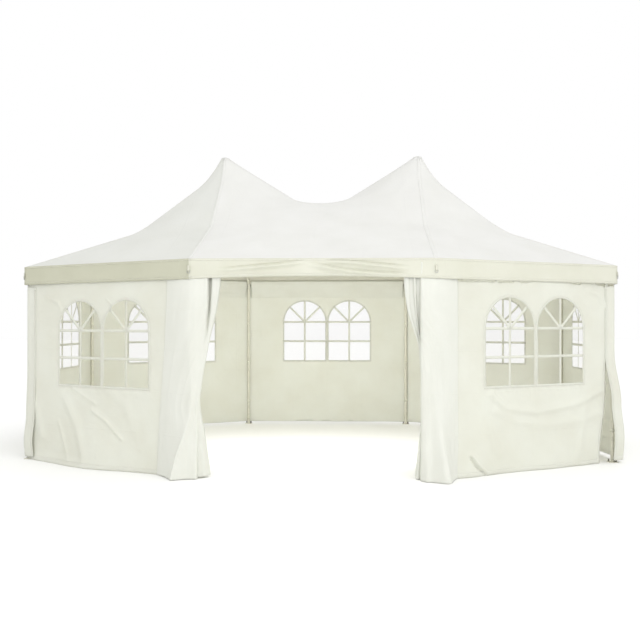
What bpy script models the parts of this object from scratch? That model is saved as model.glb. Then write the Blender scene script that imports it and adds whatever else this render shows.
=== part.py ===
"""Octagonal marquee tent with two peaks, a steel tube frame and hung fabric walls.

Eight equal bays stand round a long octagon. The front bay is the open doorway,
with a tied-back curtain on each side, and the other seven carry windowed walls.
Metres, +Z up, origin on the ground at the middle of the plan, doorway facing -Y.
"""

import math

import bmesh
import bpy
from mathutils import Matrix, Vector

# Driving dimensions of the fabric
BAY = 2.2
EAVE_HEIGHT = 1.964
PEAK_HEIGHT = 3.28
LOW_PITCH = math.radians(19.1)
HIGH_PITCH = math.radians(38.0)
ELBOW_RUN = 1.2
ROOF_CELLS = 11
TIP_RADIUS = 0.055
RIDGE_FLAT = 0.23
RIDGE_HEIGHT = 2.752
RIDGE_PITCH = math.radians(31.9)
VALANCE = 0.18
DOORWAY_RISE = 0.045
FABRIC = 0.004
RELAX_ROUNDS = 300

# Steel frame
POST_INSET = 0.045
POST_RADIUS = 0.019
TUBE_RADIUS = 0.016
SLEEVE_RADIUS = 0.019
RAIL_DROP = 0.0095
POST_TOP_RISE = 0.010
SOCKET = 0.10
ELBOW_SLEEVE = 0.07
PEAK_SIDE_SLOPE = 0.7
SLEEVE_CHAMFER = 0.003
RIDGE_TUBE_DROP = 0.038
MAST_RADIUS = 0.026
MAST_CAP_RADIUS = 0.032
MAST_CAP = 0.012
MAST_FOOT = 3.02
FOOT_PLATE = 0.09
FOOT_PLATE_THICK = 0.006

# Walls
WALL = 0.003
WALL_TOP = 1.905
WALL_FOOT = 0.030
TAB_TOP = 1.950
TAB_WIDTH = 0.050
TABS = 5
END_FLAP = 0.12
FLAP_TOP = 1.76
WINDOW_WIDTH = 0.577
WINDOW_STRIP = 0.040
WINDOW_SILL = 0.875
WINDOW_SPRING = 1.408
FILM = 0.001
FILM_LAP = 0.030

# Clearance between pieces that touch, and under the folded corners of the roof's tips
GAP = 0.0003
TIP_GAP = 0.0008

# Colours, linear
STEEL_WHITE = (0.80, 0.80, 0.76, 1.0)
CREAM = (0.83, 0.82, 0.70, 1.0)
FILM_CLEAR = (0.90, 0.93, 0.95, 0.35)

# Plan: corners anticlockwise from the doorway's left side, and the bays that start at them
HALF_TURN = math.radians(30)
REACH = BAY * math.cos(HALF_TURN)
CORNERS = {
    "front_left": Vector((-BAY / 2, -BAY)),
    "front_right": Vector((BAY / 2, -BAY)),
    "right_front": Vector((BAY / 2 + REACH, -BAY / 2)),
    "right_back": Vector((BAY / 2 + REACH, BAY / 2)),
    "back_right": Vector((BAY / 2, BAY)),
    "back_left": Vector((-BAY / 2, BAY)),
    "left_back": Vector((-BAY / 2 - REACH, BAY / 2)),
    "left_front": Vector((-BAY / 2 - REACH, -BAY / 2)),
}
NAMES = list(CORNERS)
BAYS = ["doorway", "front_right", "right_end", "back_right", "back", "back_left", "left_end", "front_left"]
PEAKS = {"left": Vector((-BAY / 2, 0)), "right": Vector((BAY / 2, 0))}


def bay_line(index):
    """Start corner, direction along the bay and outward normal, in plan."""
    start = CORNERS[NAMES[index]]
    along = (CORNERS[NAMES[(index + 1) % len(NAMES)]] - start).normalized()
    return start, along, Vector((along.y, -along.x))


def inset_corner(name, inset_before, inset_after):
    """Where the two bays at a corner meet when each is moved inwards by its inset."""
    index = NAMES.index(name)
    before = bay_line(index - 1)[2]
    after = bay_line(index)[2]
    c = before.dot(after)
    a = (c * inset_after - inset_before) / (1 - c * c)
    b = (c * inset_before - inset_after) / (1 - c * c)
    return CORNERS[name] + a * before + b * after


def bay_matrix(index, inset):
    """Local x along the bay, local y up, local z outwards, centred on the bay."""
    start, along, outward = bay_line(index)
    middle = start + along * BAY / 2 - outward * inset
    matrix = Matrix.Identity(4)
    matrix.col[0] = (along.x, along.y, 0, 0)
    matrix.col[1] = (0, 0, 1, 0)
    matrix.col[2] = (outward.x, outward.y, 0, 0)
    matrix.col[3] = (middle.x, middle.y, 0, 1)
    return matrix


def place_along(index, point):
    """A plan point's distance from the middle of a bay, measured along it."""
    start, along, _ = bay_line(index)
    return (point - start).dot(along) - BAY / 2


def peak_of(name):
    """The peak that a corner's rafter runs to."""
    return PEAKS["left" if CORNERS[name].x < 0 else "right"]


# Scene helpers


def collection(name):
    made = bpy.data.collections.new(name)
    bpy.context.scene.collection.children.link(made)
    return made


def material(name, colour, roughness, metallic=0.0):
    made = bpy.data.materials.new(name)
    made.use_nodes = True
    shader = made.node_tree.nodes["Principled BSDF"]
    shader.inputs["Base Color"].default_value = colour
    shader.inputs["Roughness"].default_value = roughness
    shader.inputs["Metallic"].default_value = metallic
    shader.inputs["Alpha"].default_value = colour[3]
    return made


def add_object(name, data, where, finish=None):
    made = bpy.data.objects.new(name, data)
    where.objects.link(made)
    if finish:
        data.materials.append(finish)
    return made


def tube_curve(name, points, radius, widths=None):
    """A round tube along straight runs, with closed ends; widths swell it at its points."""
    curve = bpy.data.curves.new(name, "CURVE")
    curve.dimensions = "3D"
    curve.bevel_depth = radius
    curve.bevel_resolution = 2
    curve.use_fill_caps = True
    spline = curve.splines.new("POLY")
    spline.points.add(len(points) - 1)
    for knot, point in zip(spline.points, points):
        knot.co = (*point, 1)
    for knot, width in zip(spline.points, widths or []):
        knot.radius = width
    return curve


def tube(name, points, radius, where, finish, widths=None):
    return add_object(name, tube_curve(name, points, radius, widths), where, finish)


def solid_tube(name, points, radius, where):
    """The same tube as a closed mesh, ready to be joined to another."""
    rough = add_object(name, tube_curve(name, points, radius), where)
    graph = bpy.context.evaluated_depsgraph_get()
    mesh = bpy.data.meshes.new_from_object(rough.evaluated_get(graph))
    matrix = rough.matrix_world.copy()
    bpy.data.objects.remove(rough)
    shape = bmesh.new()
    shape.from_mesh(mesh)
    bmesh.ops.remove_doubles(shape, verts=shape.verts, dist=0.00001)
    shape.to_mesh(mesh)
    shape.free()
    made = add_object(name, mesh, where)
    made.matrix_world = matrix
    return made


def solid_box(name, size, where):
    shape = bmesh.new()
    bmesh.ops.create_cube(shape, size=1, matrix=Matrix.Diagonal((*size, 1)))
    mesh = bpy.data.meshes.new(name)
    shape.to_mesh(mesh)
    shape.free()
    return add_object(name, mesh, where)


def unite(base, others):
    """Join other solids to a base with Boolean unions, and keep them only as guides."""
    for other in others:
        other.hide_render = True
        other.display_type = "WIRE"
        join = base.modifiers.new("join " + other.name, "BOOLEAN")
        join.operation = "UNION"
        join.solver = "EXACT"
        join.object = other


# Roof form


def rafter_height(run):
    """Top of the roof fabric over a rafter, by plan distance from the eave."""
    low = EAVE_HEIGHT + math.tan(LOW_PITCH) * min(run, ELBOW_RUN)
    high = math.tan(HIGH_PITCH) * max(run - ELBOW_RUN, 0)
    return PEAK_HEIGHT if run > BAY - TIP_RADIUS else low + high


def ridge_height(x):
    """Top of the roof fabric between the peaks: a flat middle between two slopes."""
    slope = max(abs(x) - RIDGE_FLAT, 0) * math.tan(RIDGE_PITCH)
    return min(RIDGE_HEIGHT + slope, PEAK_HEIGHT)


def held_height(point):
    """Height where the eave, a rafter or the ridge holds the fabric, else None."""
    for index in range(len(NAMES)):
        start, _, outward = bay_line(index)
        if abs((point - start).dot(outward)) < 0.001:
            return EAVE_HEIGHT
    if abs(point.y) < 0.001 and abs(point.x) < BAY / 2:
        return ridge_height(point.x)
    for name, corner in CORNERS.items():
        run = (point - corner).length
        if abs(run + (peak_of(name) - point).length - BAY) < 0.0001:
            return rafter_height(run)
    return None


def roof_surface():
    """The roof as one stretched sheet: held lines are fixed, the rest settles between them."""
    shape = bmesh.new()
    corner = {name: shape.verts.new((*place, 0)) for name, place in CORNERS.items()}
    peak = {side: shape.verts.new((*place, 0)) for side, place in PEAKS.items()}
    for index, name in enumerate(NAMES):
        following = NAMES[(index + 1) % len(NAMES)]
        ends = [corner[name], corner[following]]
        if peak_of(name) == peak_of(following):
            ends.append(peak["left" if CORNERS[name].x < 0 else "right"])
        else:
            ends += [peak["left" if CORNERS[following].x < 0 else "right"]]
            ends += [peak["left" if CORNERS[name].x < 0 else "right"]]
        shape.faces.new(ends)
    bmesh.ops.subdivide_edges(shape, edges=shape.edges[:], cuts=ROOF_CELLS - 1, use_grid_fill=True)
    free = []
    for vert in shape.verts:
        height = held_height(vert.co.xy)
        vert.co.z = EAVE_HEIGHT if height is None else height
        if height is None:
            free.append(vert)
    for _ in range(RELAX_ROUNDS):
        for vert in free:
            around = [edge.other_vert(vert).co.z for edge in vert.link_edges]
            vert.co.z = sum(around) / len(around)
    return shape


def blunt_tips(shape):
    """Open each peak into a small level top, as wide as the cap that pushes it up."""
    for place in PEAKS.values():
        tip = min(shape.verts, key=lambda vert: (vert.co.xy - place).length)
        made = bmesh.ops.bevel(shape, geom=[tip], offset=TIP_RADIUS, affect="VERTICES", segments=1)
        for vert in made["verts"]:
            outwards = (vert.co.xy - place).normalized() * TIP_RADIUS
            vert.co = (*(place + outwards), PEAK_HEIGHT)


def hang_valance(shape):
    """Turn the eave edge down into the valance, drawn up a little over the doorway."""
    rim = [edge for edge in shape.edges if edge.is_boundary]
    made = bmesh.ops.extrude_edge_only(shape, edges=rim)
    for item in made["geom"]:
        if isinstance(item, bmesh.types.BMVert):
            over_doorway = abs(item.co.y + BAY) < 0.001
            rise = DOORWAY_RISE * (1 - (2 * item.co.x / BAY) ** 2) if over_doorway else 0
            item.co.z -= VALANCE - rise


def make_canopy(where, finish):
    shape = roof_surface()
    blunt_tips(shape)
    hang_valance(shape)
    bmesh.ops.recalc_face_normals(shape, faces=shape.faces)
    mesh = bpy.data.meshes.new("canopy")
    shape.to_mesh(mesh)
    shape.free()
    canopy = add_object("canopy", mesh, where, finish)
    thick = canopy.modifiers.new("fabric", "SOLIDIFY")
    thick.thickness = FABRIC
    thick.offset = -1
    thick.use_even_offset = True


# Frame

RAIL_HEIGHT = EAVE_HEIGHT - RAIL_DROP


def under_fabric(slope_along, slope_aside):
    """Drop from the fabric's top to the axis of a sleeve that lies against its underside."""
    steepness = math.sqrt(1 + slope_along**2 + slope_aside**2)
    return (SLEEVE_RADIUS + FABRIC + GAP) * steepness


def rafter_axis(name):
    """Foot, elbow and peak ends of a rafter's centre line, in space."""
    foot = inset_corner(name, POST_INSET, POST_INSET)
    peak = peak_of(name)
    low = math.tan(LOW_PITCH)
    high = math.tan(HIGH_PITCH)
    low_drop = under_fabric(low, low * math.tan(HALF_TURN))
    high_drop = under_fabric(high, high * PEAK_SIDE_SLOPE)
    elbow_run = ELBOW_RUN + (high_drop - low_drop) / (high - low)
    inward = (peak - foot).normalized()
    foot_run = BAY - (peak - foot).length
    elbow = peak - inward * (BAY - elbow_run)
    elbow_height = EAVE_HEIGHT + low * elbow_run - low_drop
    return [
        Vector((*foot, EAVE_HEIGHT + low * foot_run - low_drop)),
        Vector((*elbow, elbow_height)),
        Vector((*peak, elbow_height + high * (BAY - elbow_run))),
    ]


def ridge_axis():
    """The link between the peaks: down, level, and up again."""
    level = RIDGE_HEIGHT - RIDGE_TUBE_DROP
    end_height = level + (BAY / 2 - RIDGE_FLAT) * math.tan(RIDGE_PITCH)
    return [
        Vector((-BAY / 2, 0, end_height)),
        Vector((-RIDGE_FLAT, 0, level)),
        Vector((RIDGE_FLAT, 0, level)),
        Vector((BAY / 2, 0, end_height)),
    ]


def stepped(start, end, distance):
    """A point this far from start on the way to end."""
    return start + (end - start).normalized() * distance


def make_post(name, where, guides, finish):
    """Upright with its foot plate, and a head with sockets for two rails and a rafter."""
    foot = inset_corner(name, POST_INSET, POST_INSET)
    head = Vector((*foot, RAIL_HEIGHT))
    top = head + Vector((0, 0, POST_TOP_RISE))
    post = solid_tube("post_" + name, [Vector((*foot, FOOT_PLATE_THICK / 2)), top], POST_RADIUS, where)
    post.data.materials.append(finish)
    plate = solid_box("plate " + name, (FOOT_PLATE, FOOT_PLATE, FOOT_PLATE_THICK), guides)
    plate.location = (*foot, FOOT_PLATE_THICK / 2)
    index = NAMES.index(name)
    joined = [plate]
    for other in (NAMES[index - 1], NAMES[(index + 1) % len(NAMES)]):
        far = Vector((*inset_corner(other, POST_INSET, POST_INSET), RAIL_HEIGHT))
        joined.append(solid_tube("rail socket", [head, stepped(head, far, SOCKET)], SLEEVE_RADIUS, guides))
    low, elbow, _ = rafter_axis(name)
    joined.append(solid_tube("rafter socket", [low, stepped(low, elbow, SOCKET)], SLEEVE_RADIUS, guides))
    unite(post, joined)


def make_rail(index, where, finish):
    """Eave rail of one bay, between the sockets of its two posts."""
    ends = []
    for name in (NAMES[index], NAMES[(index + 1) % len(NAMES)]):
        ends.append(Vector((*inset_corner(name, POST_INSET, POST_INSET), RAIL_HEIGHT)))
    reach = SOCKET + GAP
    points = [stepped(ends[0], ends[1], reach), stepped(ends[1], ends[0], reach)]
    tube("rail_" + BAYS[index], points, TUBE_RADIUS, where, finish)


def make_rafter(name, where, finish):
    """Two-slope rafter with a sleeve at its elbow."""
    low, elbow, high = rafter_axis(name)
    reach = SOCKET + GAP
    edge = ELBOW_SLEEVE + SLEEVE_CHAMFER
    before = [stepped(low, elbow, reach), stepped(elbow, low, edge), stepped(elbow, low, ELBOW_SLEEVE)]
    after = [stepped(elbow, high, ELBOW_SLEEVE), stepped(elbow, high, edge), stepped(high, elbow, reach)]
    wide = SLEEVE_RADIUS / TUBE_RADIUS
    widths = [1, 1, wide, wide, wide, 1, 1]
    tube("rafter_" + name, [*before, elbow, *after], TUBE_RADIUS, where, finish, widths)


def make_hub(side, where, guides, finish):
    """Peak hub: a short mast with a cap, four rafter sockets and one for the ridge link."""
    place = PEAKS[side]
    under_roof = PEAK_HEIGHT - FABRIC - TIP_GAP
    mast = [Vector((*place, MAST_FOOT)), Vector((*place, under_roof - MAST_CAP / 2))]
    hub = solid_tube("peak_hub_" + side, mast, MAST_RADIUS, where)
    hub.data.materials.append(finish)
    cap = [Vector((*place, under_roof - MAST_CAP)), Vector((*place, under_roof))]
    joined = [solid_tube("mast cap", cap, MAST_CAP_RADIUS, guides)]
    for name in NAMES:
        if peak_of(name) == place:
            _, elbow, high = rafter_axis(name)
            ends = [stepped(high, elbow, MAST_RADIUS / 2), stepped(high, elbow, SOCKET)]
            joined.append(solid_tube("rafter socket", ends, SLEEVE_RADIUS, guides))
    axis = ridge_axis()
    end, bend = (axis[0], axis[1]) if side == "left" else (axis[3], axis[2])
    link = [stepped(end, bend, MAST_RADIUS), stepped(end, bend, SOCKET)]
    joined.append(solid_tube("link socket", link, SLEEVE_RADIUS, guides))
    unite(hub, joined)


def make_ridge_link(where, finish):
    axis = ridge_axis()
    reach = SOCKET + GAP
    points = [stepped(axis[0], axis[1], reach), axis[1], axis[2], stepped(axis[3], axis[2], reach)]
    tube("ridge_link", points, TUBE_RADIUS, where, finish)


# Walls

WALL_INSET = POST_INSET - POST_RADIUS - GAP - WALL / 2
FLAP_INSET = WALL_INSET - WALL - GAP
CORNER_ALLOWANCE = 0.003
ARCH_STEPS = 12

# What sets a wall apart: how far it hangs below the others, how far its windows sit off its
# middle, and how far its far edge stops short at the top and at the foot
WALL_DROP = {"front_right": 0.065, "front_left": 0.090}
WINDOW_SHIFT = {"front_right": 0.06}
FAR_EDGE_SHORT = {"front_right": (0.16, 0.25)}


def closed_line(curve, points):
    spline = curve.splines.new("POLY")
    spline.points.add(len(points) - 1)
    for knot, (x, y) in zip(spline.points, points):
        knot.co = (x, y, 0, 1)
    spline.use_cyclic_u = True


def window_outline(centre, sill, spring):
    """A window with an upright lower part and a half-round head."""
    half = WINDOW_WIDTH / 2
    points = [(centre - half, sill), (centre + half, sill)]
    for step in range(ARCH_STEPS + 1):
        angle = math.pi * step / ARCH_STEPS
        points.append((centre + half * math.cos(angle), spring + half * math.sin(angle)))
    return points


def wall_outline(left, right, foot, top, short_top, short_foot):
    """Panel edge from the lower left round, with hanging tabs along the top."""
    upper_right = right - short_top
    points = [(left, foot), (right - short_foot, foot), (upper_right, top)]
    clear = TAB_WIDTH + SOCKET
    spacing = (upper_right - left - 2 * clear) / (TABS - 1)
    for step in reversed(range(TABS)):
        middle = left + clear + spacing * step
        points += [(middle + TAB_WIDTH / 2, top), (middle + TAB_WIDTH / 2, TAB_TOP)]
        points += [(middle - TAB_WIDTH / 2, TAB_TOP), (middle - TAB_WIDTH / 2, top)]
    return points + [(left, top)]


def make_wall(index, where, guides, finish):
    """One hung panel with its two arched windows cut through."""
    name = BAYS[index]
    is_end = name.endswith("end")
    drop = WALL_DROP.get(name, 0)
    shift = WINDOW_SHIFT.get(name, 0)
    short_top, short_foot = FAR_EDGE_SHORT.get(name, (0, 0))
    inner_face = WALL_INSET + WALL / 2 + GAP
    ends = []
    for corner in (NAMES[index], NAMES[(index + 1) % len(NAMES)]):
        beside = FLAP_INSET if is_end else inner_face
        starts_here = corner == NAMES[index]
        insets = (beside, WALL_INSET) if starts_here else (WALL_INSET, beside)
        ends.append(place_along(index, inset_corner(corner, *insets)))
    allowance = -WALL / 2 if is_end else CORNER_ALLOWANCE
    left, right = ends[0] + allowance, ends[1] - allowance
    foot = FOOT_PLATE_THICK + GAP if drop else WALL_FOOT
    curve = bpy.data.curves.new("wall_" + name, "CURVE")
    curve.dimensions = "2D"
    curve.fill_mode = "BOTH"
    curve.extrude = WALL / 2
    closed_line(curve, wall_outline(left, right, foot, WALL_TOP - drop, short_top, short_foot))
    for side in (-1, 1):
        centre = shift + side * (WINDOW_WIDTH + WINDOW_STRIP) / 2
        closed_line(curve, window_outline(centre, WINDOW_SILL - drop, WINDOW_SPRING - drop))
    panel = add_object("wall_" + name, curve, where, finish)
    panel.matrix_world = bay_matrix(index, WALL_INSET)
    if is_end:
        add_flaps(panel, index, where, guides, finish)


def add_flaps(panel, index, where, guides, finish):
    """Turn an end wall's edges round its posts, onto the outside of the next walls."""
    bpy.context.view_layer.update()
    graph = bpy.context.evaluated_depsgraph_get()
    mesh = bpy.data.meshes.new_from_object(panel.evaluated_get(graph))
    matrix = panel.matrix_world.copy()
    name = panel.name
    bpy.data.objects.remove(panel)
    shape = bmesh.new()
    shape.from_mesh(mesh)
    bmesh.ops.remove_doubles(shape, verts=shape.verts, dist=0.00001)
    shape.to_mesh(mesh)
    shape.free()
    whole = add_object(name, mesh, where)
    whole.matrix_world = matrix
    joined = []
    for corner, beside, way in ((NAMES[index], index - 1, -1), (NAMES[(index + 1) % 8], (index + 1) % 8, 1)):
        insets = (FLAP_INSET, WALL_INSET) if way < 0 else (WALL_INSET, FLAP_INSET)
        meeting = place_along(beside, inset_corner(corner, *insets))
        height = FLAP_TOP - WALL_FOOT
        flap = solid_box("flap " + corner, (END_FLAP + WALL / 2, height, WALL), guides)
        middle = (meeting + way * (END_FLAP - WALL / 2) / 2, WALL_FOOT + height / 2, 0)
        flap.matrix_world = bay_matrix(beside % 8, FLAP_INSET) @ Matrix.Translation(middle)
        joined.append(flap)
    unite(whole, joined)


def make_film(index, where, finish):
    """One clear sheet behind both windows of a wall."""
    name = BAYS[index]
    drop = WALL_DROP.get(name, 0)
    width = 2 * WINDOW_WIDTH + WINDOW_STRIP + 2 * FILM_LAP
    low = WINDOW_SILL - drop - FILM_LAP
    high = WINDOW_SPRING + WINDOW_WIDTH / 2 - drop + FILM_LAP
    film = solid_box("window_film_" + name, (width, high - low, FILM), where)
    film.data.materials.append(finish)
    inset = WALL_INSET + WALL / 2 + GAP + FILM / 2
    middle = (WINDOW_SHIFT.get(name, 0), (low + high) / 2, 0)
    film.matrix_world = bay_matrix(index, inset) @ Matrix.Translation(middle)


# Curtains

CURTAIN_BACK = WALL_INSET - WALL / 2 - GAP
CURTAIN_FRONT = -0.012
CURTAIN_UNDER_VALANCE = 0.006
CURTAIN_FLARE = -0.075

# Height, inset of the outer face, reach round the post onto the wall, reach into the doorway
LEFT_CURTAIN = [
    (0.010, CURTAIN_FLARE, 0.28, 0.17),
    (0.120, -0.050, 0.28, 0.17),
    (0.350, -0.025, 0.27, 0.16),
    (0.700, CURTAIN_FRONT, 0.26, 0.10),
    (1.200, CURTAIN_FRONT, 0.25, 0.18),
    (1.450, CURTAIN_FRONT, 0.25, 0.25),
    (1.740, CURTAIN_FRONT, 0.25, 0.27),
    (1.780, CURTAIN_UNDER_VALANCE, 0.25, 0.27),
    (1.930, CURTAIN_UNDER_VALANCE, 0.25, 0.25),
]
RIGHT_CURTAIN = [
    (0.010, CURTAIN_FLARE, 0.22, 0.13),
    (0.120, -0.050, 0.22, 0.14),
    (0.350, -0.025, 0.22, 0.15),
    (0.700, CURTAIN_FRONT, 0.22, 0.15),
    (1.450, CURTAIN_FRONT, 0.22, 0.17),
    (1.740, CURTAIN_FRONT, 0.22, 0.25),
    (1.780, CURTAIN_UNDER_VALANCE, 0.22, 0.25),
    (1.930, CURTAIN_UNDER_VALANCE, 0.22, 0.23),
]


def curtain_section(corner, door_way, height, outer, on_wall, in_door):
    """One level of a curtain: a band that turns round the post from the wall into the doorway."""
    index = NAMES.index(corner)
    wall_bay = index - 1 if door_way > 0 else index
    along_door = bay_line(0)[1] * door_way
    along_wall = bay_line(wall_bay)[1] * -door_way
    ring = []
    for inset, order in ((outer, 1), (CURTAIN_BACK, -1)):
        turn = inset_corner(corner, inset, inset)
        ring += [turn + along_wall * on_wall, turn, turn + along_door * in_door][::order]
    return [(*point, height) for point in ring]


def make_curtain(name, corner, door_way, sections, where, finish):
    """Loft a tied-back door curtain through its levels."""
    shape = bmesh.new()
    rings = []
    for section in sections:
        rings.append([shape.verts.new(point) for point in curtain_section(corner, door_way, *section)])
    for lower, upper in zip(rings, rings[1:]):
        for step in range(len(lower)):
            after = (step + 1) % len(lower)
            shape.faces.new((lower[step], lower[after], upper[after], upper[step]))
    for ring in (rings[0], rings[-1]):
        shape.faces.new((ring[0], ring[1], ring[4], ring[5]))
        shape.faces.new((ring[1], ring[2], ring[3], ring[4]))
    bmesh.ops.recalc_face_normals(shape, faces=shape.faces)
    mesh = bpy.data.meshes.new(name)
    shape.to_mesh(mesh)
    shape.free()
    add_object(name, mesh, where, finish)


def main():
    for old in list(bpy.data.objects):
        bpy.data.objects.remove(old)
    tent = collection("marquee_tent")
    guides = collection("construction")
    steel = material("painted steel", STEEL_WHITE, 0.45, 0.2)
    fabric = material("coated polyester", CREAM, 0.8)
    clear = material("clear window film", FILM_CLEAR, 0.1)
    for name in NAMES:
        make_post(name, tent, guides, steel)
        make_rafter(name, tent, steel)
    for index in range(len(BAYS)):
        make_rail(index, tent, steel)
        if BAYS[index] != "doorway":
            make_wall(index, tent, guides, fabric)
            make_film(index, tent, clear)
    for side in PEAKS:
        make_hub(side, tent, guides, steel)
    make_ridge_link(tent, steel)
    make_canopy(tent, fabric)
    make_curtain("curtain_left", "front_left", 1, LEFT_CURTAIN, tent, fabric)
    make_curtain("curtain_right", "front_right", -1, RIGHT_CURTAIN, tent, fabric)


main()
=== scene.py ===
"""Looks of an octagonal marquee tent with two peaks: roof, walls, windows, curtains and fittings.

Laid out as a Blender add-on and run as a script. Metres, +Z up, the doorway faces -Y.
"""

import math

import bmesh
import bpy
import numpy as np
from bpy.props import FloatProperty, FloatVectorProperty, IntProperty, PointerProperty
from mathutils import Matrix, Vector, geometry, kdtree, noise
from mathutils.bvhtree import BVHTree


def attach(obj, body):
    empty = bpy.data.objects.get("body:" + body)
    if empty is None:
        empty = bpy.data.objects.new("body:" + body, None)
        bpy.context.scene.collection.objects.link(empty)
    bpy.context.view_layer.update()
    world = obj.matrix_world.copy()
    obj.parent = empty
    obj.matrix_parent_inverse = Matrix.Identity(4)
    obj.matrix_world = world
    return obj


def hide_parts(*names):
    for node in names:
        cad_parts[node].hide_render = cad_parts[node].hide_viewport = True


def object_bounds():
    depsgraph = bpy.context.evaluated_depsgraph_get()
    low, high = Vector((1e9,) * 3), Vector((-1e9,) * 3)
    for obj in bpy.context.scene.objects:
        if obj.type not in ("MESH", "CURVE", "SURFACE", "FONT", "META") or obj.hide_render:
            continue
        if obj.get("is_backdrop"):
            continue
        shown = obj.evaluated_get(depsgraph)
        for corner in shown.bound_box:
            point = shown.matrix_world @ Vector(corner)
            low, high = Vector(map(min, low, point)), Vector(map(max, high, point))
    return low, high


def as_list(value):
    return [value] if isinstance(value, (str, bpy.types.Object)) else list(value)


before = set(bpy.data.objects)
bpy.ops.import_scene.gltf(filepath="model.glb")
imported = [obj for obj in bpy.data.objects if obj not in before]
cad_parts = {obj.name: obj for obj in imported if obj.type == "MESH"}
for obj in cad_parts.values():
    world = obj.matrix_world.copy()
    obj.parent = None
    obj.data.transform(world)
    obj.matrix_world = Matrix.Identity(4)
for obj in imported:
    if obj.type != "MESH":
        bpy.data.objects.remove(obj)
CAD_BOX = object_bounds()

bl_info = {
    "name": "Marquee Tent",
    "version": (1, 0, 0),
    "blender": (4, 5, 0),
    "location": "View3D > Sidebar > Marquee",
    "description": "Dresses the frame of a two-peak marquee tent in cloth, windows and fittings",
    "category": "Object",
}

# Plan and heights, the same as the frame's
BAY = 2.2
EAVE_HEIGHT = 1.964
PEAK_HEIGHT = 3.28
LOW_PITCH = math.radians(19.1)
HIGH_PITCH = math.radians(38.0)
ELBOW_RUN = 1.2
RIDGE_FLAT = 0.23
RIDGE_HEIGHT = 2.752
RIDGE_PITCH = math.radians(31.9)
VALANCE = 0.18
POST_INSET = 0.045
POST_RADIUS = 0.019
RAIL_HEIGHT = 1.9545
WALL_INSET = 0.0242
WALL_TOP = 1.905
WALL_FOOT = 0.030
FLAP_TOP = 1.76
WINDOW_WIDTH = 0.577
WINDOW_STRIP = 0.040
WINDOW_SILL = 0.875
WINDOW_SPRING = 1.408
CURTAIN_TOP = 1.930
FOOT_PLATE = 0.006

# Sizes of the cloth alone: the flaps of the end walls and how far they stand proud of the walls
# beside them, and the pocket that wraps a rail
FLAP_WIDTH = 0.13
FLAP_PROUD = 0.012
POCKET_RADIUS = 0.0215

# How a hub's cap pushes the roof up: the radius of the level top, and how far from the peak the
# cloth begins to rise
TIP_RADIUS = 0.038
TIP_SKIRT = 0.33

# The two walls that hang low brush the ground, and no wall goes lower than this gap
LOW_WALL_FOOT = 0.0020
GROUND_GAP = 0.0012

# Bays whose roof and valance take darker finishes, as painted shade on the tent's left half
PAINTED_SHADE_BAYS = ("back_left", "left_end", "front_left")

# How the valance hangs: lower over the doorway than its frame, and leaning against the walls
DOORWAY_RISE = 0.025
VALANCE_LEAN = 0.015

# Folds in the doorway's valance: places along it, their depths below the eave, and how deep each is
DOORWAY_FOLDS = [
    ((-0.78, -0.64, -0.47, -0.29, -0.11), (0.084, 0.069, 0.053, 0.040, 0.013), 0.020),
    ((0.16, 0.33, 0.51, 0.69, 0.80), (0.009, 0.013, 0.036, 0.053, 0.068), 0.022),
    ((0.02, 0.16, 0.33, 0.51, 0.69, 0.80), (0.040, 0.067, 0.093, 0.111, 0.120, 0.129), 0.020),
]

# Section of those folds: width of the groove and its share of the ridge's depth, how far below it
# the ridge runs and the ridge's width, and the length over which a fold fades out at its ends
GROOVE_WIDTH = 0.008
GROOVE_SHARE = 0.6
RIDGE_BELOW = 0.022
RIDGE_WIDTH = 0.017
FOLD_FADE = 0.08

REACH = BAY * math.cos(math.radians(30))
CORNERS = {
    "front_left": Vector((-BAY / 2, -BAY)),
    "front_right": Vector((BAY / 2, -BAY)),
    "right_front": Vector((BAY / 2 + REACH, -BAY / 2)),
    "right_back": Vector((BAY / 2 + REACH, BAY / 2)),
    "back_right": Vector((BAY / 2, BAY)),
    "back_left": Vector((-BAY / 2, BAY)),
    "left_back": Vector((-BAY / 2 - REACH, BAY / 2)),
    "left_front": Vector((-BAY / 2 - REACH, -BAY / 2)),
}
NAMES = list(CORNERS)
SIDES = len(NAMES)
BAYS = ["doorway", "front_right", "right_end", "back_right", "back", "back_left", "left_end", "front_left"]
PEAKS = {"left": Vector((-BAY / 2, 0)), "right": Vector((BAY / 2, 0))}


def bay_line(index):
    """Start corner, direction along the bay and outward normal, in plan."""
    start = CORNERS[NAMES[index % SIDES]]
    along = (CORNERS[NAMES[(index + 1) % SIDES]] - start).normalized()
    return start, along, Vector((along.y, -along.x))


def peak_of(name):
    """The peak that a corner's rafter runs to."""
    return PEAKS["left" if CORNERS[name].x < 0 else "right"]


def meeting(name, inset_before, inset_after):
    """Where the two bays at a corner meet when each is moved inwards by its own inset."""
    before = bay_line(NAMES.index(name) - 1)[2]
    after = bay_line(NAMES.index(name))[2]
    shared = before.dot(after)
    by_before = (shared * inset_after - inset_before) / (1 - shared * shared)
    by_after = (shared * inset_before - inset_after) / (1 - shared * shared)
    return CORNERS[name] + by_before * before + by_after * after


def post_centre(name):
    """Middle of a corner's post, in plan."""
    return meeting(name, POST_INSET, POST_INSET)


# Mesh helpers


def mesh_piece(name, verts, faces, finish, uv=None, edges=()):
    """A smooth mesh object at the origin; uv gives each vertex its place on the flat cloth."""
    mesh = bpy.data.meshes.new(name)
    mesh.from_pydata([tuple(vert) for vert in verts], list(edges), faces)
    mesh.polygons.foreach_set("use_smooth", [True] * len(mesh.polygons))
    if uv is not None:
        layer = mesh.uv_layers.new(name="cloth")
        owner = np.empty(len(mesh.loops), dtype=int)
        mesh.loops.foreach_get("vertex_index", owner)
        layer.data.foreach_set("uv", np.asarray(uv, dtype=float)[owner].ravel())
    made = bpy.data.objects.new(name, mesh)
    bpy.context.scene.collection.objects.link(made)
    if finish:
        mesh.materials.append(finish)
    return made


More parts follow.
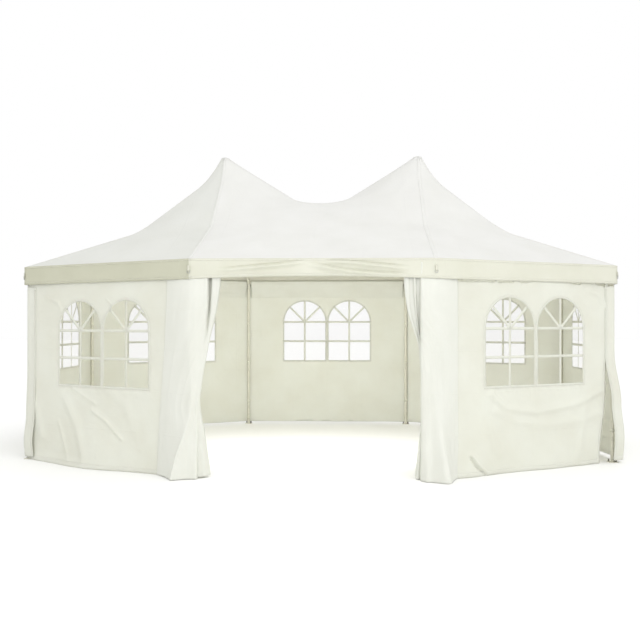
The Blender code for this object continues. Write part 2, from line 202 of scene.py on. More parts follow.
def thicken(piece, thickness, offset=0.0, inner_finish=0):
    """Give a sheet its real thickness and keep the result as a plain mesh.

    inner_finish is how many material slots further on the finish of its inner side is.
    """
    solid = piece.modifiers.new("thickness", "SOLIDIFY")
    solid.thickness = thickness
    solid.offset = offset
    solid.material_offset = inner_finish
    return settle_modifiers(piece)


def settle_modifiers(piece):
    """Keep what the modifiers make as the piece's own mesh."""
    graph = bpy.context.evaluated_depsgraph_get()
    mesh = bpy.data.meshes.new_from_object(piece.evaluated_get(graph))
    mesh.name = piece.name
    piece.modifiers.clear()
    piece.data = mesh
    return piece


def finish_piece(piece, slot, *nodes):
    """The piece rides with the tent and stands for its nodes, which are hidden. Its slot is not used."""
    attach(piece, "root")
    if nodes:
        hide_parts(*nodes)
    return piece


def keyed(height, keys):
    """A value by height that eases between (height, value) pairs."""
    heights, values = (np.array(part, dtype=float) for part in zip(*keys))
    place = np.interp(height, heights, np.arange(len(keys)))
    whole = np.minimum(place.astype(int), len(keys) - 2)
    part = place - whole
    ease = part * part * (3 - 2 * part)
    return values[whole] + (values[whole + 1] - values[whole]) * ease


def ramp(value, low, high):
    """0 below low, 1 above high, smooth between."""
    part = np.clip((value - low) / (high - low), 0, 1)
    return part * part * (3 - 2 * part)


def ripples(points, seed, octaves=1):
    """Smooth noise at many points, about -1 to 1."""
    shift = Vector((seed * 7.3, seed * 3.1, seed * 5.7))
    if octaves == 1:
        return np.array([noise.noise(Vector(point) + shift) for point in points])
    return np.array([noise.fractal(Vector(point) + shift, 1.0, 2.0, octaves) for point in points])


def resample(points, step):
    """The same polyline with points about a step apart, its own corners kept."""
    points = np.asarray(points, dtype=float)
    made = [points[:1]]
    for start, end in zip(points, points[1:]):
        count = max(int(round(np.linalg.norm(end - start) / step)), 1)
        share = np.arange(1, count + 1)[:, None] / count
        made.append(start + (end - start) * share)
    return np.concatenate(made)


def run_along(points):
    """Length along a polyline at each of its points."""
    return np.concatenate([[0], np.cumsum(np.linalg.norm(np.diff(points, axis=0), axis=1))])


def round_points(radius, start, end, count, centre=(0.0, 0.0)):
    """Points on a circle in a plane, from one angle to another."""
    return [
        (centre[0] + radius * math.cos(turn), centre[1] + radius * math.sin(turn))
        for turn in np.linspace(start, end, count)
    ]


def grid_faces(rows, count, closed=False, start=0):
    """Quads between rows of vertices that are numbered one row after another."""
    faces = []
    for row in range(rows - 1):
        low, high = start + row * count, start + (row + 1) * count
        for spot in range(count if closed else count - 1):
            after = (spot + 1) % count
            faces.append((low + spot, low + after, high + after, high + spot))
    return faces


# Materials


def linear(colour):
    """An sRGB hex colour as linear RGB."""
    parts = [int(colour[place : place + 2], 16) / 255 for place in (1, 3, 5)]
    return tuple(part / 12.92 if part <= 0.04045 else ((part + 0.055) / 1.055) ** 2.4 for part in parts)


def node(tree, kind, feeds=None, **settings):
    """Add a node, with its settings, and set or link the sockets that feeds names."""
    made = tree.nodes.new(kind)
    for name, value in settings.items():
        setattr(made, name, value)
    for socket, source in (feeds or {}).items():
        if isinstance(source, bpy.types.NodeSocket):
            tree.links.new(source, made.inputs[socket])
        else:
            made.inputs[socket].default_value = source
    return made


def blank_material(name):
    made = bpy.data.materials.new(name)
    made.use_nodes = True
    made.node_tree.nodes.clear()
    return made


# A wave texture's scale is this over the width of one band in metres
BANDS_PER_METRE = math.pi / 10

# Sockets of the colour mix node
COLOUR_A = 6
COLOUR_B = 7
COLOUR_OUT = 2


def coated_cloth(name, colour, deep, through, crumple, roughness):
    """Woven polyester with a thin coating: soft glow from behind, slight creases, faint yarn.

    The real yarn is 0.5 mm, which no view shows, so the bands are 6 mm. Creases from
    handling are 30 to 90 mm across and give the cloth its uneven shade, and faint straight
    folds 0.46 by 0.38 m apart stay from its bag.
    """
    made = blank_material(name)
    tree = made.node_tree
    cloth = node(tree, "ShaderNodeUVMap", uv_map="cloth").outputs["UV"]
    yarn = BANDS_PER_METRE / 0.006
    warp = node(tree, "ShaderNodeTexWave", {"Vector": cloth, "Scale": yarn}, bands_direction="X")
    weft = node(tree, "ShaderNodeTexWave", {"Vector": cloth, "Scale": yarn}, bands_direction="Y")
    weave = node(
        tree, "ShaderNodeMath", {0: warp.outputs["Fac"], 1: weft.outputs["Fac"]}, operation="MAXIMUM"
    )
    creases = node(
        tree,
        "ShaderNodeTexNoise",
        {"Vector": cloth, "Scale": 1 / 0.09, "Detail": 3.0, "Roughness": 0.5, "Distortion": 0.6},
    )
    clouds = node(tree, "ShaderNodeTexNoise", {"Vector": cloth, "Scale": 1 / 0.45, "Detail": 4.0})
    folds = node(
        tree,
        "ShaderNodeTexBrick",
        {
            "Vector": cloth,
            "Scale": 1.0,
            "Mortar Size": 0.010,
            "Mortar Smooth": 1.0,
            "Brick Width": 0.46,
            "Row Height": 0.38,
        },
        offset=0.0,
    )
    fold_bump = node(
        tree, "ShaderNodeBump", {"Height": folds.outputs["Fac"], "Strength": 0.5, "Distance": 0.0015}
    )
    yarn_bump = node(
        tree,
        "ShaderNodeBump",
        {
            "Height": weave.outputs[0],
            "Normal": fold_bump.outputs[0],
            "Strength": 0.25,
            "Distance": 0.0004,
        },
    )
    bump = node(
        tree,
        "ShaderNodeBump",
        {
            "Height": creases.outputs["Fac"],
            "Normal": yarn_bump.outputs[0],
            "Strength": crumple,
            "Distance": 0.008,
        },
    )
    tone = node(
        tree,
        "ShaderNodeMapRange",
        {"Value": clouds.outputs["Fac"], "From Min": 0.35, "From Max": 0.70},
    )
    shade = node(
        tree,
        "ShaderNodeMix",
        {0: tone.outputs[0], COLOUR_A: (*colour, 1), COLOUR_B: (*deep, 1)},
        data_type="RGBA",
    ).outputs[COLOUR_OUT]
    front = node(
        tree,
        "ShaderNodeBsdfPrincipled",
        {"Base Color": shade, "Roughness": roughness, "Specular IOR Level": 0.3, "Normal": bump.outputs[0]},
    )
    glow = node(tree, "ShaderNodeBsdfTranslucent", {"Color": shade, "Normal": bump.outputs[0]})
    both = node(tree, "ShaderNodeMixShader", {0: through, 1: front.outputs[0], 2: glow.outputs[0]})
    node(tree, "ShaderNodeOutputMaterial", {"Surface": both.outputs[0]})
    return made


def clear_film(name, colour, alpha):
    """Calendered clear PVC: it shows what is behind it, with a slight milkiness and a soft gloss."""
    made = blank_material(name)
    tree = made.node_tree
    place = node(tree, "ShaderNodeTexCoord").outputs["Object"]
    waves = node(tree, "ShaderNodeTexNoise", {"Vector": place, "Scale": 1 / 0.16, "Detail": 1.0})
    bump = node(tree, "ShaderNodeBump", {"Height": waves.outputs["Fac"], "Strength": 0.3, "Distance": 0.01})
    film = node(
        tree,
        "ShaderNodeBsdfPrincipled",
        {
            "Base Color": (*colour, 1),
            "Roughness": 0.12,
            "IOR": 1.54,
            "Alpha": alpha,
            "Normal": bump.outputs[0],
        },
    )
    node(tree, "ShaderNodeOutputMaterial", {"Surface": film.outputs[0]})
    return made


def coated_steel(name, colour, worn, metallic, roughness, grain):
    """Steel with a baked powder coat or bare zinc: fine grain, scuffs that show near the ground."""
    made = blank_material(name)
    tree = made.node_tree
    place = node(tree, "ShaderNodeTexCoord").outputs["Object"]
    peel = node(tree, "ShaderNodeTexNoise", {"Vector": place, "Scale": 1 / grain, "Detail": 2.0})
    scuffs = node(tree, "ShaderNodeTexNoise", {"Vector": place, "Scale": 1 / 0.03, "Detail": 5.0})
    height = node(tree, "ShaderNodeSeparateXYZ", {0: place}).outputs["Z"]
    low = node(
        tree,
        "ShaderNodeMapRange",
        {"Value": height, "From Min": 0.0, "From Max": 0.5, "To Min": 0.45, "To Max": 0.62},
    )
    above = node(
        tree, "ShaderNodeMath", {0: scuffs.outputs["Fac"], 1: low.outputs[0]}, operation="SUBTRACT"
    )
    wear = node(
        tree, "ShaderNodeMath", {0: above.outputs[0], 1: 6.0}, operation="MULTIPLY", use_clamp=True
    )
    shade = node(
        tree,
        "ShaderNodeMix",
        {0: wear.outputs[0], COLOUR_A: (*colour, 1), COLOUR_B: (*worn, 1)},
        data_type="RGBA",
    ).outputs[COLOUR_OUT]
    bump = node(tree, "ShaderNodeBump", {"Height": peel.outputs["Fac"], "Strength": 0.2, "Distance": 0.0005})
    steel = node(
        tree,
        "ShaderNodeBsdfPrincipled",
        {"Base Color": shade, "Metallic": metallic, "Roughness": roughness, "Normal": bump.outputs[0]},
    )
    node(tree, "ShaderNodeOutputMaterial", {"Surface": steel.outputs[0]})
    return made


def spun_thread(name, colour):
    """Twisted polyester sewing thread: soft sheen, with its lay as fine slanting bands."""
    made = blank_material(name)
    tree = made.node_tree
    place = node(tree, "ShaderNodeTexCoord").outputs["Object"]
    lay = node(
        tree,
        "ShaderNodeTexWave",
        {"Vector": place, "Scale": BANDS_PER_METRE / 0.002},
        bands_direction="DIAGONAL",
    )
    bump = node(tree, "ShaderNodeBump", {"Height": lay.outputs["Fac"], "Strength": 0.3, "Distance": 0.0002})
    thread = node(
        tree,
        "ShaderNodeBsdfPrincipled",
        {"Base Color": (*colour, 1), "Roughness": 0.6, "Sheen Weight": 0.3, "Normal": bump.outputs[0]},
    )
    node(tree, "ShaderNodeOutputMaterial", {"Surface": thread.outputs[0]})
    return made


def stage_floor(name, colour):
    """Matt pale studio floor with a barely uneven shade."""
    made = blank_material(name)
    tree = made.node_tree
    place = node(tree, "ShaderNodeTexCoord").outputs["Object"]
    clouds = node(tree, "ShaderNodeTexNoise", {"Vector": place, "Scale": 0.4, "Detail": 2.0})
    tone = node(tree, "ShaderNodeMapRange", {"Value": clouds.outputs["Fac"], "To Min": 0.97, "To Max": 1.0})
    shade = node(tree, "ShaderNodeVectorMath", {0: colour, 1: tone.outputs[0]}, operation="MULTIPLY")
    floor = node(tree, "ShaderNodeBsdfPrincipled", {"Base Color": shade.outputs[0], "Roughness": 0.9})
    node(tree, "ShaderNodeOutputMaterial", {"Surface": floor.outputs[0]})
    return made


# Geometry node trees


def new_tree(name, inputs):
    """A geometry node group that takes a mesh and the named inputs, and its input node."""
    tree = bpy.data.node_groups.new(name, "GeometryNodeTree")
    tree.interface.new_socket("Geometry", in_out="INPUT", socket_type="NodeSocketGeometry")
    for label, kind in inputs.items():
        tree.interface.new_socket(label, in_out="INPUT", socket_type=kind)
    tree.interface.new_socket("Geometry", in_out="OUTPUT", socket_type="NodeSocketGeometry")
    return tree, node(tree, "NodeGroupInput").outputs


def close_tree(tree, instances, finish):
    """End a tree in real geometry with its material."""
    real = node(tree, "GeometryNodeRealizeInstances", {0: instances})
    painted = node(tree, "GeometryNodeSetMaterial", {"Geometry": real.outputs[0], "Material": finish})
    node(tree, "NodeGroupOutput", {0: painted.outputs[0]})
    return tree


def stitch_tree():
    """Lays one short bead of thread after another along every line of the mesh."""
    tree, given = new_tree(
        "stitches",
        {
            "Spacing": "NodeSocketFloat",
            "Stitch Length": "NodeSocketFloat",
            "Thread Radius": "NodeSocketFloat",
            "Thread": "NodeSocketMaterial",
        },
    )
    line = node(tree, "GeometryNodeMeshToCurve", {0: given["Geometry"]})
    spots = node(
        tree,
        "GeometryNodeCurveToPoints",
        {"Curve": line.outputs[0], "Length": given["Spacing"]},
        mode="LENGTH",
    )
    bead = node(
        tree,
        "GeometryNodeMeshCylinder",
        {"Vertices": 4, "Radius": given["Thread Radius"], "Depth": given["Stitch Length"]},
    )
    lean = node(
        tree,
        "FunctionNodeRandomValue",
        {0: (-0.12, -0.12, 0.0), 1: (0.12, 0.12, 0.0), "Seed": 11},
        data_type="FLOAT_VECTOR",
    )
    turn = node(
        tree,
        "FunctionNodeRotateRotation",
        {0: spots.outputs["Rotation"], 1: lean.outputs[0]},
        rotation_space="LOCAL",
    )
    row = node(
        tree,
        "GeometryNodeInstanceOnPoints",
        {"Points": spots.outputs["Points"], "Instance": bead.outputs["Mesh"], "Rotation": turn.outputs[0]},
    )
    return close_tree(tree, row.outputs[0], given["Thread"])


def fitting_tree():
    """Puts a copy of one fitting on every point, turned by the point's own angles."""
    tree, given = new_tree("fittings", {"Fitting": "NodeSocketObject", "Finish": "NodeSocketMaterial"})
    part = node(tree, "GeometryNodeObjectInfo", {"Object": given["Fitting"]}, transform_space="ORIGINAL")
    turn = node(tree, "GeometryNodeInputNamedAttribute", {"Name": "turn"}, data_type="FLOAT_VECTOR")
    row = node(
        tree,
        "GeometryNodeInstanceOnPoints",
        {"Points": given["Geometry"], "Instance": part.outputs["Geometry"], "Rotation": turn.outputs[0]},
    )
    return close_tree(tree, row.outputs[0], given["Finish"])


def grow(carrier, tree, values):
    """Run a node tree on a carrier mesh and keep the result as the carrier's own plain mesh."""
    modifier = carrier.modifiers.new(tree.name, "NODES")
    modifier.node_group = tree
    for socket in tree.interface.items_tree:
        if socket.name in values:
            modifier[socket.identifier] = values[socket.name]
    return settle_modifiers(carrier)


def sew(name, lines, tent):
    """Stitch along lines in space."""
    verts, edges = [], []
    for line in lines:
        start = len(verts)
        verts.extend(line)
        edges.extend((start + step, start + step + 1) for step in range(len(line) - 1))
    row = mesh_piece(name, verts, [], None, edges=edges)
    values = {
        "Spacing": tent.stitch_spacing,
        "Stitch Length": tent.stitch_spacing * 0.65,
        "Thread Radius": tent.thread_radius,
        "Thread": bpy.data.materials["sewing thread, spun polyester"],
    }
    return finish_piece(grow(row, bpy.data.node_groups["stitches"], values), "wall_fabric")


def place_fittings(name, fitting, places, turns, finish, slot):
    """Copies of one fitting at places, each turned by its Euler angles."""
    carrier = mesh_piece(name, places, [], None)
    turn = carrier.data.attributes.new("turn", "FLOAT_VECTOR", "POINT")
    turn.data.foreach_set("vector", np.asarray(turns, dtype=float).ravel())
    values = {"Fitting": fitting, "Finish": bpy.data.materials[finish]}
    made = grow(carrier, bpy.data.node_groups["fittings"], values)
    bpy.data.objects.remove(fitting)
    finish_piece(made, slot)


# Strips of cloth that lie on a surface: seams, hems, window tapes and bars


def side_steps(path, closed):
    """Unit step to the left of a flat path at each point, lengthened at its corners."""
    path = np.asarray(path, dtype=float)
    ahead = np.roll(path, -1, axis=0) - path
    if not closed:
        ahead[-1] = ahead[-2]
    ahead /= np.linalg.norm(ahead, axis=1)[:, None]
    behind = np.roll(ahead, 1, axis=0)
    if not closed:
        behind[0] = ahead[0]
    middle = ahead + behind
    middle /= np.linalg.norm(middle, axis=1)[:, None]
    mitre = 1 / np.clip(np.sum(middle * ahead, axis=1), 0.5, 1)
    return np.stack([-middle[:, 1], middle[:, 0]], axis=1) * mitre[:, None]


def strips(name, paths, width, place, lift, finish, step=0.02, across=3, closed=False):
    """Ribbons of one width along flat paths, laid on the surface that place gives."""
    verts, faces, uv = [], [], []
    for path in paths:
        path = resample([*path, path[0]] if closed else path, step)
        if closed:
            path = path[:-1]
        side = side_steps(path, closed)
        rows = []
        for share in np.linspace(-0.5, 0.5, across):
            rows.append(place(path + side * (share * width), lift))
        start = len(verts)
        lengths = run_along(path)
        for row, share in zip(rows, np.linspace(-0.5, 0.5, across)):
            verts.extend(row)
            uv.extend((length, share * width) for length in lengths)
        faces += grid_faces(across, len(path), closed, start)
    return mesh_piece(name, verts, faces, finish, uv)


# Roof

# Creases of the roof: how close they stand round a peak and over what distance they fade, how close
# the soft ones between stand, the shares of both, and how far from a seam they start and are full
FAN_DENSITY = 5
FAN_REACH = 0.9
SOFT_DENSITY = 1.4
FAN_SHARE = 0.8
SOFT_SHARE = 0.6
SEAM_HOLD = (0.02, 0.25)

# The valance: rows of vertices down it, how far it stands off and waves, the wave of its hem, and how
# far from a corner its waves and its lean begin to fade and are gone
VALANCE_ROWS = 48
VALANCE_STAND = 0.004
VALANCE_WAVE = 0.010
HEM_WAVE = 0.003
CORNER_HOLD = (0.14, 0.01)
LEAN_FADE = (0.45, 0.28)

# Seams of the roof: widths of the eave seam and the hem, how far above the valance's lower edge the
# hem's middle and stitches are, how far below the eave its stitches are, the thickness of a layer,
# and the steps along a bay
EAVE_SEAM = 0.030
VALANCE_HEM = 0.024
HEM_MIDDLE = 0.013
HEM_STITCHES = 0.021
EAVE_STITCHES = 0.010
SEAM_LAYER = 0.0005
BAY_STEPS = 44


def rafter_height(run):
    """Top of the roof over a rafter, by plan distance from the eave."""
    low = EAVE_HEIGHT + math.tan(LOW_PITCH) * min(run, ELBOW_RUN)
    return low + math.tan(HIGH_PITCH) * max(run - ELBOW_RUN, 0)


def ridge_height(x):
    """Top of the roof between the peaks: a flat middle between two slopes."""
    return RIDGE_HEIGHT + max(abs(x) - RIDGE_FLAT, 0) * math.tan(RIDGE_PITCH)


def tip_rise(from_peak, edge_height):
    """How far the cap lifts the cloth off a rafter or the ridge, which would reach its rim at edge_height."""
    share = max((TIP_SKIRT - from_peak) / (TIP_SKIRT - TIP_RADIUS), 0)
    return (PEAK_HEIGHT - edge_height) * share**2


def held_height(point):
    """Height where the eave, a rafter or the ridge holds the cloth, else None."""
    for index in range(SIDES):
        start, _, outward = bay_line(index)
        if abs((point - start).dot(outward)) < 0.001:
            return EAVE_HEIGHT
    if min((place - point).length for place in PEAKS.values()) < TIP_RADIUS + 0.001:
        return PEAK_HEIGHT
    if abs(point.y) < 0.001 and abs(point.x) < BAY / 2:
        return ridge_height(point.x) + tip_rise(BAY / 2 - abs(point.x), ridge_height(BAY / 2 - TIP_RADIUS))
    for name, corner in CORNERS.items():
        run = (point - corner).length
        from_peak = (peak_of(name) - point).length
        if abs(run + from_peak - BAY) < 0.0001:
            return rafter_height(run) + tip_rise(from_peak, rafter_height(BAY - TIP_RADIUS))
    return None


def roof_cage():
    """The eight flat panels of the roof in plan."""
    shape = bmesh.new()
    corner = {name: shape.verts.new((*place, 0)) for name, place in CORNERS.items()}
    peak = {side: shape.verts.new((*place, 0)) for side, place in PEAKS.items()}
    for index, name in enumerate(NAMES):
        following = NAMES[(index + 1) % SIDES]
        tops = []
        for end in (following, name):
            top = peak["left" if CORNERS[end].x < 0 else "right"]
            if top not in tops:
                tops.append(top)
        shape.faces.new([corner[name], corner[following], *tops])
    return shape


def round_tips(shape):
    """Set the vertices next to each peak on the rim of the hub's cap."""
    for place in PEAKS.values():
        tip = min(shape.verts, key=lambda vert: (vert.co.xy - place).length)
        for vert in {vert for face in tip.link_faces for vert in face.verts if vert is not tip}:
            vert.co.xy = place + (vert.co.xy - place).normalized() * TIP_RADIUS


def stretched_roof(cells):
    """The roof as one stretched sheet: held lines are fixed, the rest settles between them."""
    shape = roof_cage()
    bmesh.ops.subdivide_edges(shape, edges=shape.edges[:], cuts=cells - 1, use_grid_fill=True)
    round_tips(shape)
    shape.verts.ensure_lookup_table()
    shape.verts.index_update()
    held = [held_height(vert.co.xy) for vert in shape.verts]
    free = np.array([height is None for height in held])
    height = np.array([EAVE_HEIGHT if value is None else value for value in held])
    ends = np.array([[edge.verts[0].index, edge.verts[1].index] for edge in shape.edges])
    height = settled(height, free, ends)
    for vert, level in zip(shape.verts, height):
        vert.co.z = level
    return shape


def settled(height, free, ends):
    """Each free vertex at the mean of its neighbours, by conjugate gradients."""
    count = len(height)
    first, second = ends[:, 0], ends[:, 1]
    degree = np.bincount(ends.ravel(), minlength=count)

    def pull(values):
        near = np.bincount(first, values[second], count) + np.bincount(second, values[first], count)
        return np.where(free, degree * values - near, 0)

    solution = height.copy()
    residue = -pull(solution)
    search = residue.copy()
    strength = residue @ residue
    while strength > 1e-9:
        pulled = pull(search)
        step = strength / (search @ pulled)
        solution += step * search
        residue -= step * pulled
        renewed = residue @ residue
        search = residue + search * (renewed / strength)
        strength = renewed
    return solution


def hip_lines():
    """Each rafter's line in plan, from the eave to the edge of its tip."""
    lines = []
    for name, corner in CORNERS.items():
        peak = peak_of(name)
        lines.append([tuple(corner), tuple(peak + (corner - peak).normalized() * TIP_RADIUS)])
    return lines


def line_distance(points, start, end):
    """Distance of many flat points from one straight line."""
    start, end = np.asarray(start), np.asarray(end)
    span = end - start
    share = np.clip((points - start) @ span / (span @ span), 0, 1)
    return np.linalg.norm(points - start - share[:, None] * span, axis=1)


def pucker_roof(shape, depth):
    """Light tension creases that run down from the tips and in from the corners."""
    plan = np.array([vert.co[:2] for vert in shape.verts])
    clear = np.full(len(plan), 1.0)
    for start, end in [*hip_lines(), [tuple(PEAKS["left"]), tuple(PEAKS["right"])]]:
        clear = np.minimum(clear, line_distance(plan, start, end))
    for index in range(SIDES):
        start, _, outward = bay_line(index)
        clear = np.minimum(clear, -(plan - np.array(start)) @ np.array(outward))
    peaks = np.array([tuple(place) for place in PEAKS.values()])
    offsets = plan[:, None, :] - peaks[None]
    distances = np.linalg.norm(offsets, axis=2)
    nearest = np.argmin(distances, axis=1)
    rows = np.arange(len(plan))
    away, offset = distances[rows, nearest], offsets[rows, nearest]
    angle = np.arctan2(offset[:, 1], offset[:, 0])
    # Drawn out along each spoke, and read from another place in the noise at each peak
    reach = away * 0.5 + nearest * 9
    spokes = np.stack([np.cos(angle) * FAN_DENSITY, np.sin(angle) * FAN_DENSITY, reach], axis=1)
    fan = ripples(spokes, 3, 2) * FAN_SHARE * np.exp(-away / FAN_REACH)
    soft = ripples(np.column_stack([plan * SOFT_DENSITY, nearest]), 5, 2) * SOFT_SHARE
    drop = depth * (fan + soft) * ramp(clear, *SEAM_HOLD)
    for vert, amount in zip(shape.verts, drop):
        vert.co.z += amount


def rim_loop(shape):
    """Eave vertices in order, anticlockwise from the front left corner."""
    shape.edges.ensure_lookup_table()
    start = min(shape.verts, key=lambda vert: (vert.co.xy - CORNERS["front_left"]).length)
    loop, here, before = [start], start, None
    while True:
        choices = [edge.other_vert(here) for edge in here.link_edges if edge.is_boundary]
        if before is None:
            onward = max(choices, key=lambda vert: vert.co.x)
        else:
            onward = next(vert for vert in choices if vert is not before)
        if onward is start:
            return loop
        loop.append(onward)
        here, before = onward, here


def doorway_creases(place, depth):
    """Folds in the doorway's valance: each is a groove with a ridge below it, down to a corner."""
    fold = np.zeros_like(place)
    for line, depths, size in DOORWAY_FOLDS:
        below = depth - np.interp(place, line, depths)
        groove = np.exp(-((below / GROOVE_WIDTH) ** 2))
        ridge = np.exp(-(((below - RIDGE_BELOW) / RIDGE_WIDTH) ** 2))
        begun = ramp(place, line[0] - FOLD_FADE, line[0] + FOLD_FADE)
        ended = ramp(place, line[-1] - FOLD_FADE, line[-1] + FOLD_FADE)
        fold += size * (ridge - GROOVE_SHARE * groove) * begun * (1 - ended)
    return fold


def valance_length(place, over_doorway):
    """The valance is cut level; over the doorway its lower edge rises towards the middle."""
    rise = DOORWAY_RISE * (1 - (2 * place / BAY) ** 2)
    return VALANCE - np.where(over_doorway, rise, 0)


def valance_sheet(plan):
    """Rows of the valance below the eave: points in space and on the flat cloth."""
    count = len(plan)
    per_bay = count // SIDES
    bay = np.arange(count) // per_bay
    place = (np.arange(count) % per_bay) * BAY / per_bay - BAY / 2
    outward = np.array([tuple(bay_line(index)[2]) for index in bay])
    inner = 1 - ramp(np.abs(place), *(BAY / 2 - hold for hold in CORNER_HOLD))
    doorway = bay == 0
    length = valance_length(place, doorway)
    beside_wall = np.array([name != "doorway" and not name.endswith("end") for name in BAYS])[bay]
    upright = ramp(np.abs(place), *(BAY / 2 - fade for fade in LEAN_FADE))
    lean = VALANCE_LEAN * beside_wall * (1 - upright)
    wave = ripples(np.column_stack([plan * 3.2, np.zeros(count)]), 8, 2)
    hem = ripples(np.column_stack([plan * 6.0, np.ones(count)]), 9)
    made, flat = [], []
    for row in range(1, VALANCE_ROWS + 1):
        share = row / VALANCE_ROWS
        depth = length * share
        stand = np.maximum(VALANCE_STAND + VALANCE_WAVE * wave * share, 0) * share - lean * share
        stand = (stand + np.where(doorway, doorway_creases(place, depth), 0)) * inner
        spots = plan + outward * stand[:, None]
        level = EAVE_HEIGHT - depth - HEM_WAVE * hem * share
        made.append(np.column_stack([spots, level]))
        flat.append(np.column_stack([np.arange(count) * BAY / per_bay, -depth]))
    return made, flat


def panel_of(point):
    """Name of the bay whose roof panel a plan point lies in."""
    if abs(point.x) < BAY / 2:
        return "doorway" if point.y < 0 else "back"
    side = "left" if point.x < 0 else "right"
    way = point - PEAKS[side]
    around = [name for name in BAYS if side in name]
    return max(around, key=lambda name: way.dot(bay_line(BAYS.index(name))[2]))


def paint_shade_on_bays(piece, further):
    """Faces over the bays with painted shade take the darker finish that is so many material slots further
    on.
    """
    for face in piece.data.polygons:
        if panel_of(face.center.xy) in PAINTED_SHADE_BAYS:
            face.material_index += further


def make_canopy(tent, finishes):
    """Roof and valance as one continuous sheet. finishes are roof, valance, the same two darker as painted
    shade on the left bays, inside.
    """
    shape = stretched_roof(tent.roof_cells)
    rim = rim_loop(shape)
    pucker_roof(shape, tent.roof_pucker)
    shape.verts.index_update()
    verts = [tuple(vert.co) for vert in shape.verts]
    faces = [[vert.index for vert in face.verts] for face in shape.faces]
    uv = [vert[:2] for vert in verts]
    above = [vert.index for vert in rim]
    plan = np.array([vert.co[:2] for vert in rim])
    shape.free()
    roof_faces = len(faces)
    levels, flats = valance_sheet(plan)
    top = len(verts)
    count = len(plan)
    verts.extend(verts[index] for index in above)
    uv.extend((spot * SIDES * BAY / count, 0.0) for spot in range(count))
    for level, flat in zip(levels, flats):
        verts.extend(map(tuple, level))
        uv.extend(map(tuple, flat))
    for row in range(len(levels)):
        high, low = top + row * count, top + (row + 1) * count
        for spot in range(count):
            after = (spot + 1) % count
            faces.append((high + after, high + spot, low + spot, low + after))
    canopy = mesh_piece("canopy_cloth", verts, faces, None, uv)
    for finish in finishes:
        canopy.data.materials.append(finish)
    for face in canopy.data.polygons[roof_faces:]:
        face.material_index = 1
    # Painted shade: the left bays take the darker finishes
    paint_shade_on_bays(canopy, 2)
    shape = bmesh.new()
    shape.from_mesh(canopy.data)
    bmesh.ops.remove_doubles(shape, verts=shape.verts, dist=0.0001)
    bmesh.ops.recalc_face_normals(shape, faces=shape.faces)
    top_face = max(shape.faces, key=lambda face: face.calc_center_median().z)
    if top_face.normal.z < 0:
        bmesh.ops.reverse_faces(shape, faces=shape.faces)
    for edge in shape.edges:
        edge.smooth = len({face.material_index % 2 for face in edge.link_faces}) == 1
    shape.to_mesh(canopy.data)
    shape.free()
    return canopy


def eave_spot(arc):
    """Plan point and outward direction at a distance round the eave from the front left corner."""
    bay = int(arc // BAY) % SIDES
    start, along, outward = bay_line(bay)
    return start + along * (arc - BAY * (arc // BAY)), outward


class RoofSurface:
    """Puts flat patterns onto the canopy's outside."""

    def __init__(self, canopy):
        shape = bmesh.new()
        shape.from_mesh(canopy.data)
        self.tree = BVHTree.FromBMesh(shape)
        shape.free()

    def from_plan(self, points, lift):
        """Points given in plan, dropped onto the roof or its nearest edge."""
        made = []
        for x, y in points:
            spot, normal, _, _ = self.tree.ray_cast(Vector((x, y, PEAK_HEIGHT + 1)), Vector((0, 0, -1)))
            if spot is None:
                spot, normal, _, _ = self.tree.find_nearest(Vector((x, y, EAVE_HEIGHT)))
            made.append(tuple(spot + normal * lift))
        return made

    def from_eave(self, points, lift):
        """Points given by distance round the eave, and height above or below its edge."""
        made = []
        for arc, height in points:
            plan, outward = eave_spot(arc)
            inward = max(height, 0)
            spot = Vector((*(plan - outward * inward), EAVE_HEIGHT + min(height, 0)))
            spot.z += inward * math.tan(LOW_PITCH)
            near, normal, _, _ = self.tree.find_nearest(spot)
            made.append(tuple(near + normal * lift))
        return made


def valance_edge(arc, above):
    """Height from the eave down to a line this far above the valance's lower edge."""
    place = (arc % BAY) - BAY / 2
    over_doorway = arc % (SIDES * BAY) < BAY
    return above - float(valance_length(place, over_doorway))


def make_roof_seams(tent, surface, finishes):
    """Flat-felled seams along the hips, the eave seam and the valance hem."""
    hips = hip_lines()
    hips.append([(-BAY / 2 + TIP_RADIUS, 0), (BAY / 2 - TIP_RADIUS, 0)])
    roof, valance = finishes[:2]
    seams = strips("hip_seams", hips, tent.seam_width, surface.from_plan, 0.0005, roof, 0.04, 5)
    round_eave = [(arc, 0.0) for arc in np.arange(SIDES * BAY_STEPS + 1) * BAY / BAY_STEPS]
    eave = strips("eave_seam", [round_eave], EAVE_SEAM, surface.from_eave, 0.0008, valance, 0.06, 5)
    hem_line = [(arc, valance_edge(arc, HEM_MIDDLE)) for arc, _ in round_eave]
    hem = strips("valance_hem", [hem_line], VALANCE_HEM, surface.from_eave, 0.0008, valance, 0.06, 3)
    # The left bays' seams and hem take the darker finishes too, as painted shade
    for piece, duller in ((seams, finishes[2]), (eave, finishes[3]), (hem, finishes[3])):
        piece.data.materials.append(duller)
        paint_shade_on_bays(piece, 1)
        thicken(piece, SEAM_LAYER)
        finish_piece(piece, "roof_fabric")
    rows = []
    for line in hips:
        path = resample(line, 0.04)
        side = side_steps(path, False) * (tent.seam_width / 2 - 0.005)
        rows += [surface.from_plan(path + side, 0.0010), surface.from_plan(path - side, 0.0010)]
    rows.append(surface.from_eave([(arc, -EAVE_STITCHES) for arc, _ in round_eave], 0.0020))
    rows.append(surface.from_eave([(arc, valance_edge(arc, HEM_STITCHES)) for arc, _ in round_eave], 0.0018))
    stitching = sew("roof_stitching", rows, tent)
    return [seams, eave, hem, stitching]


# Walls


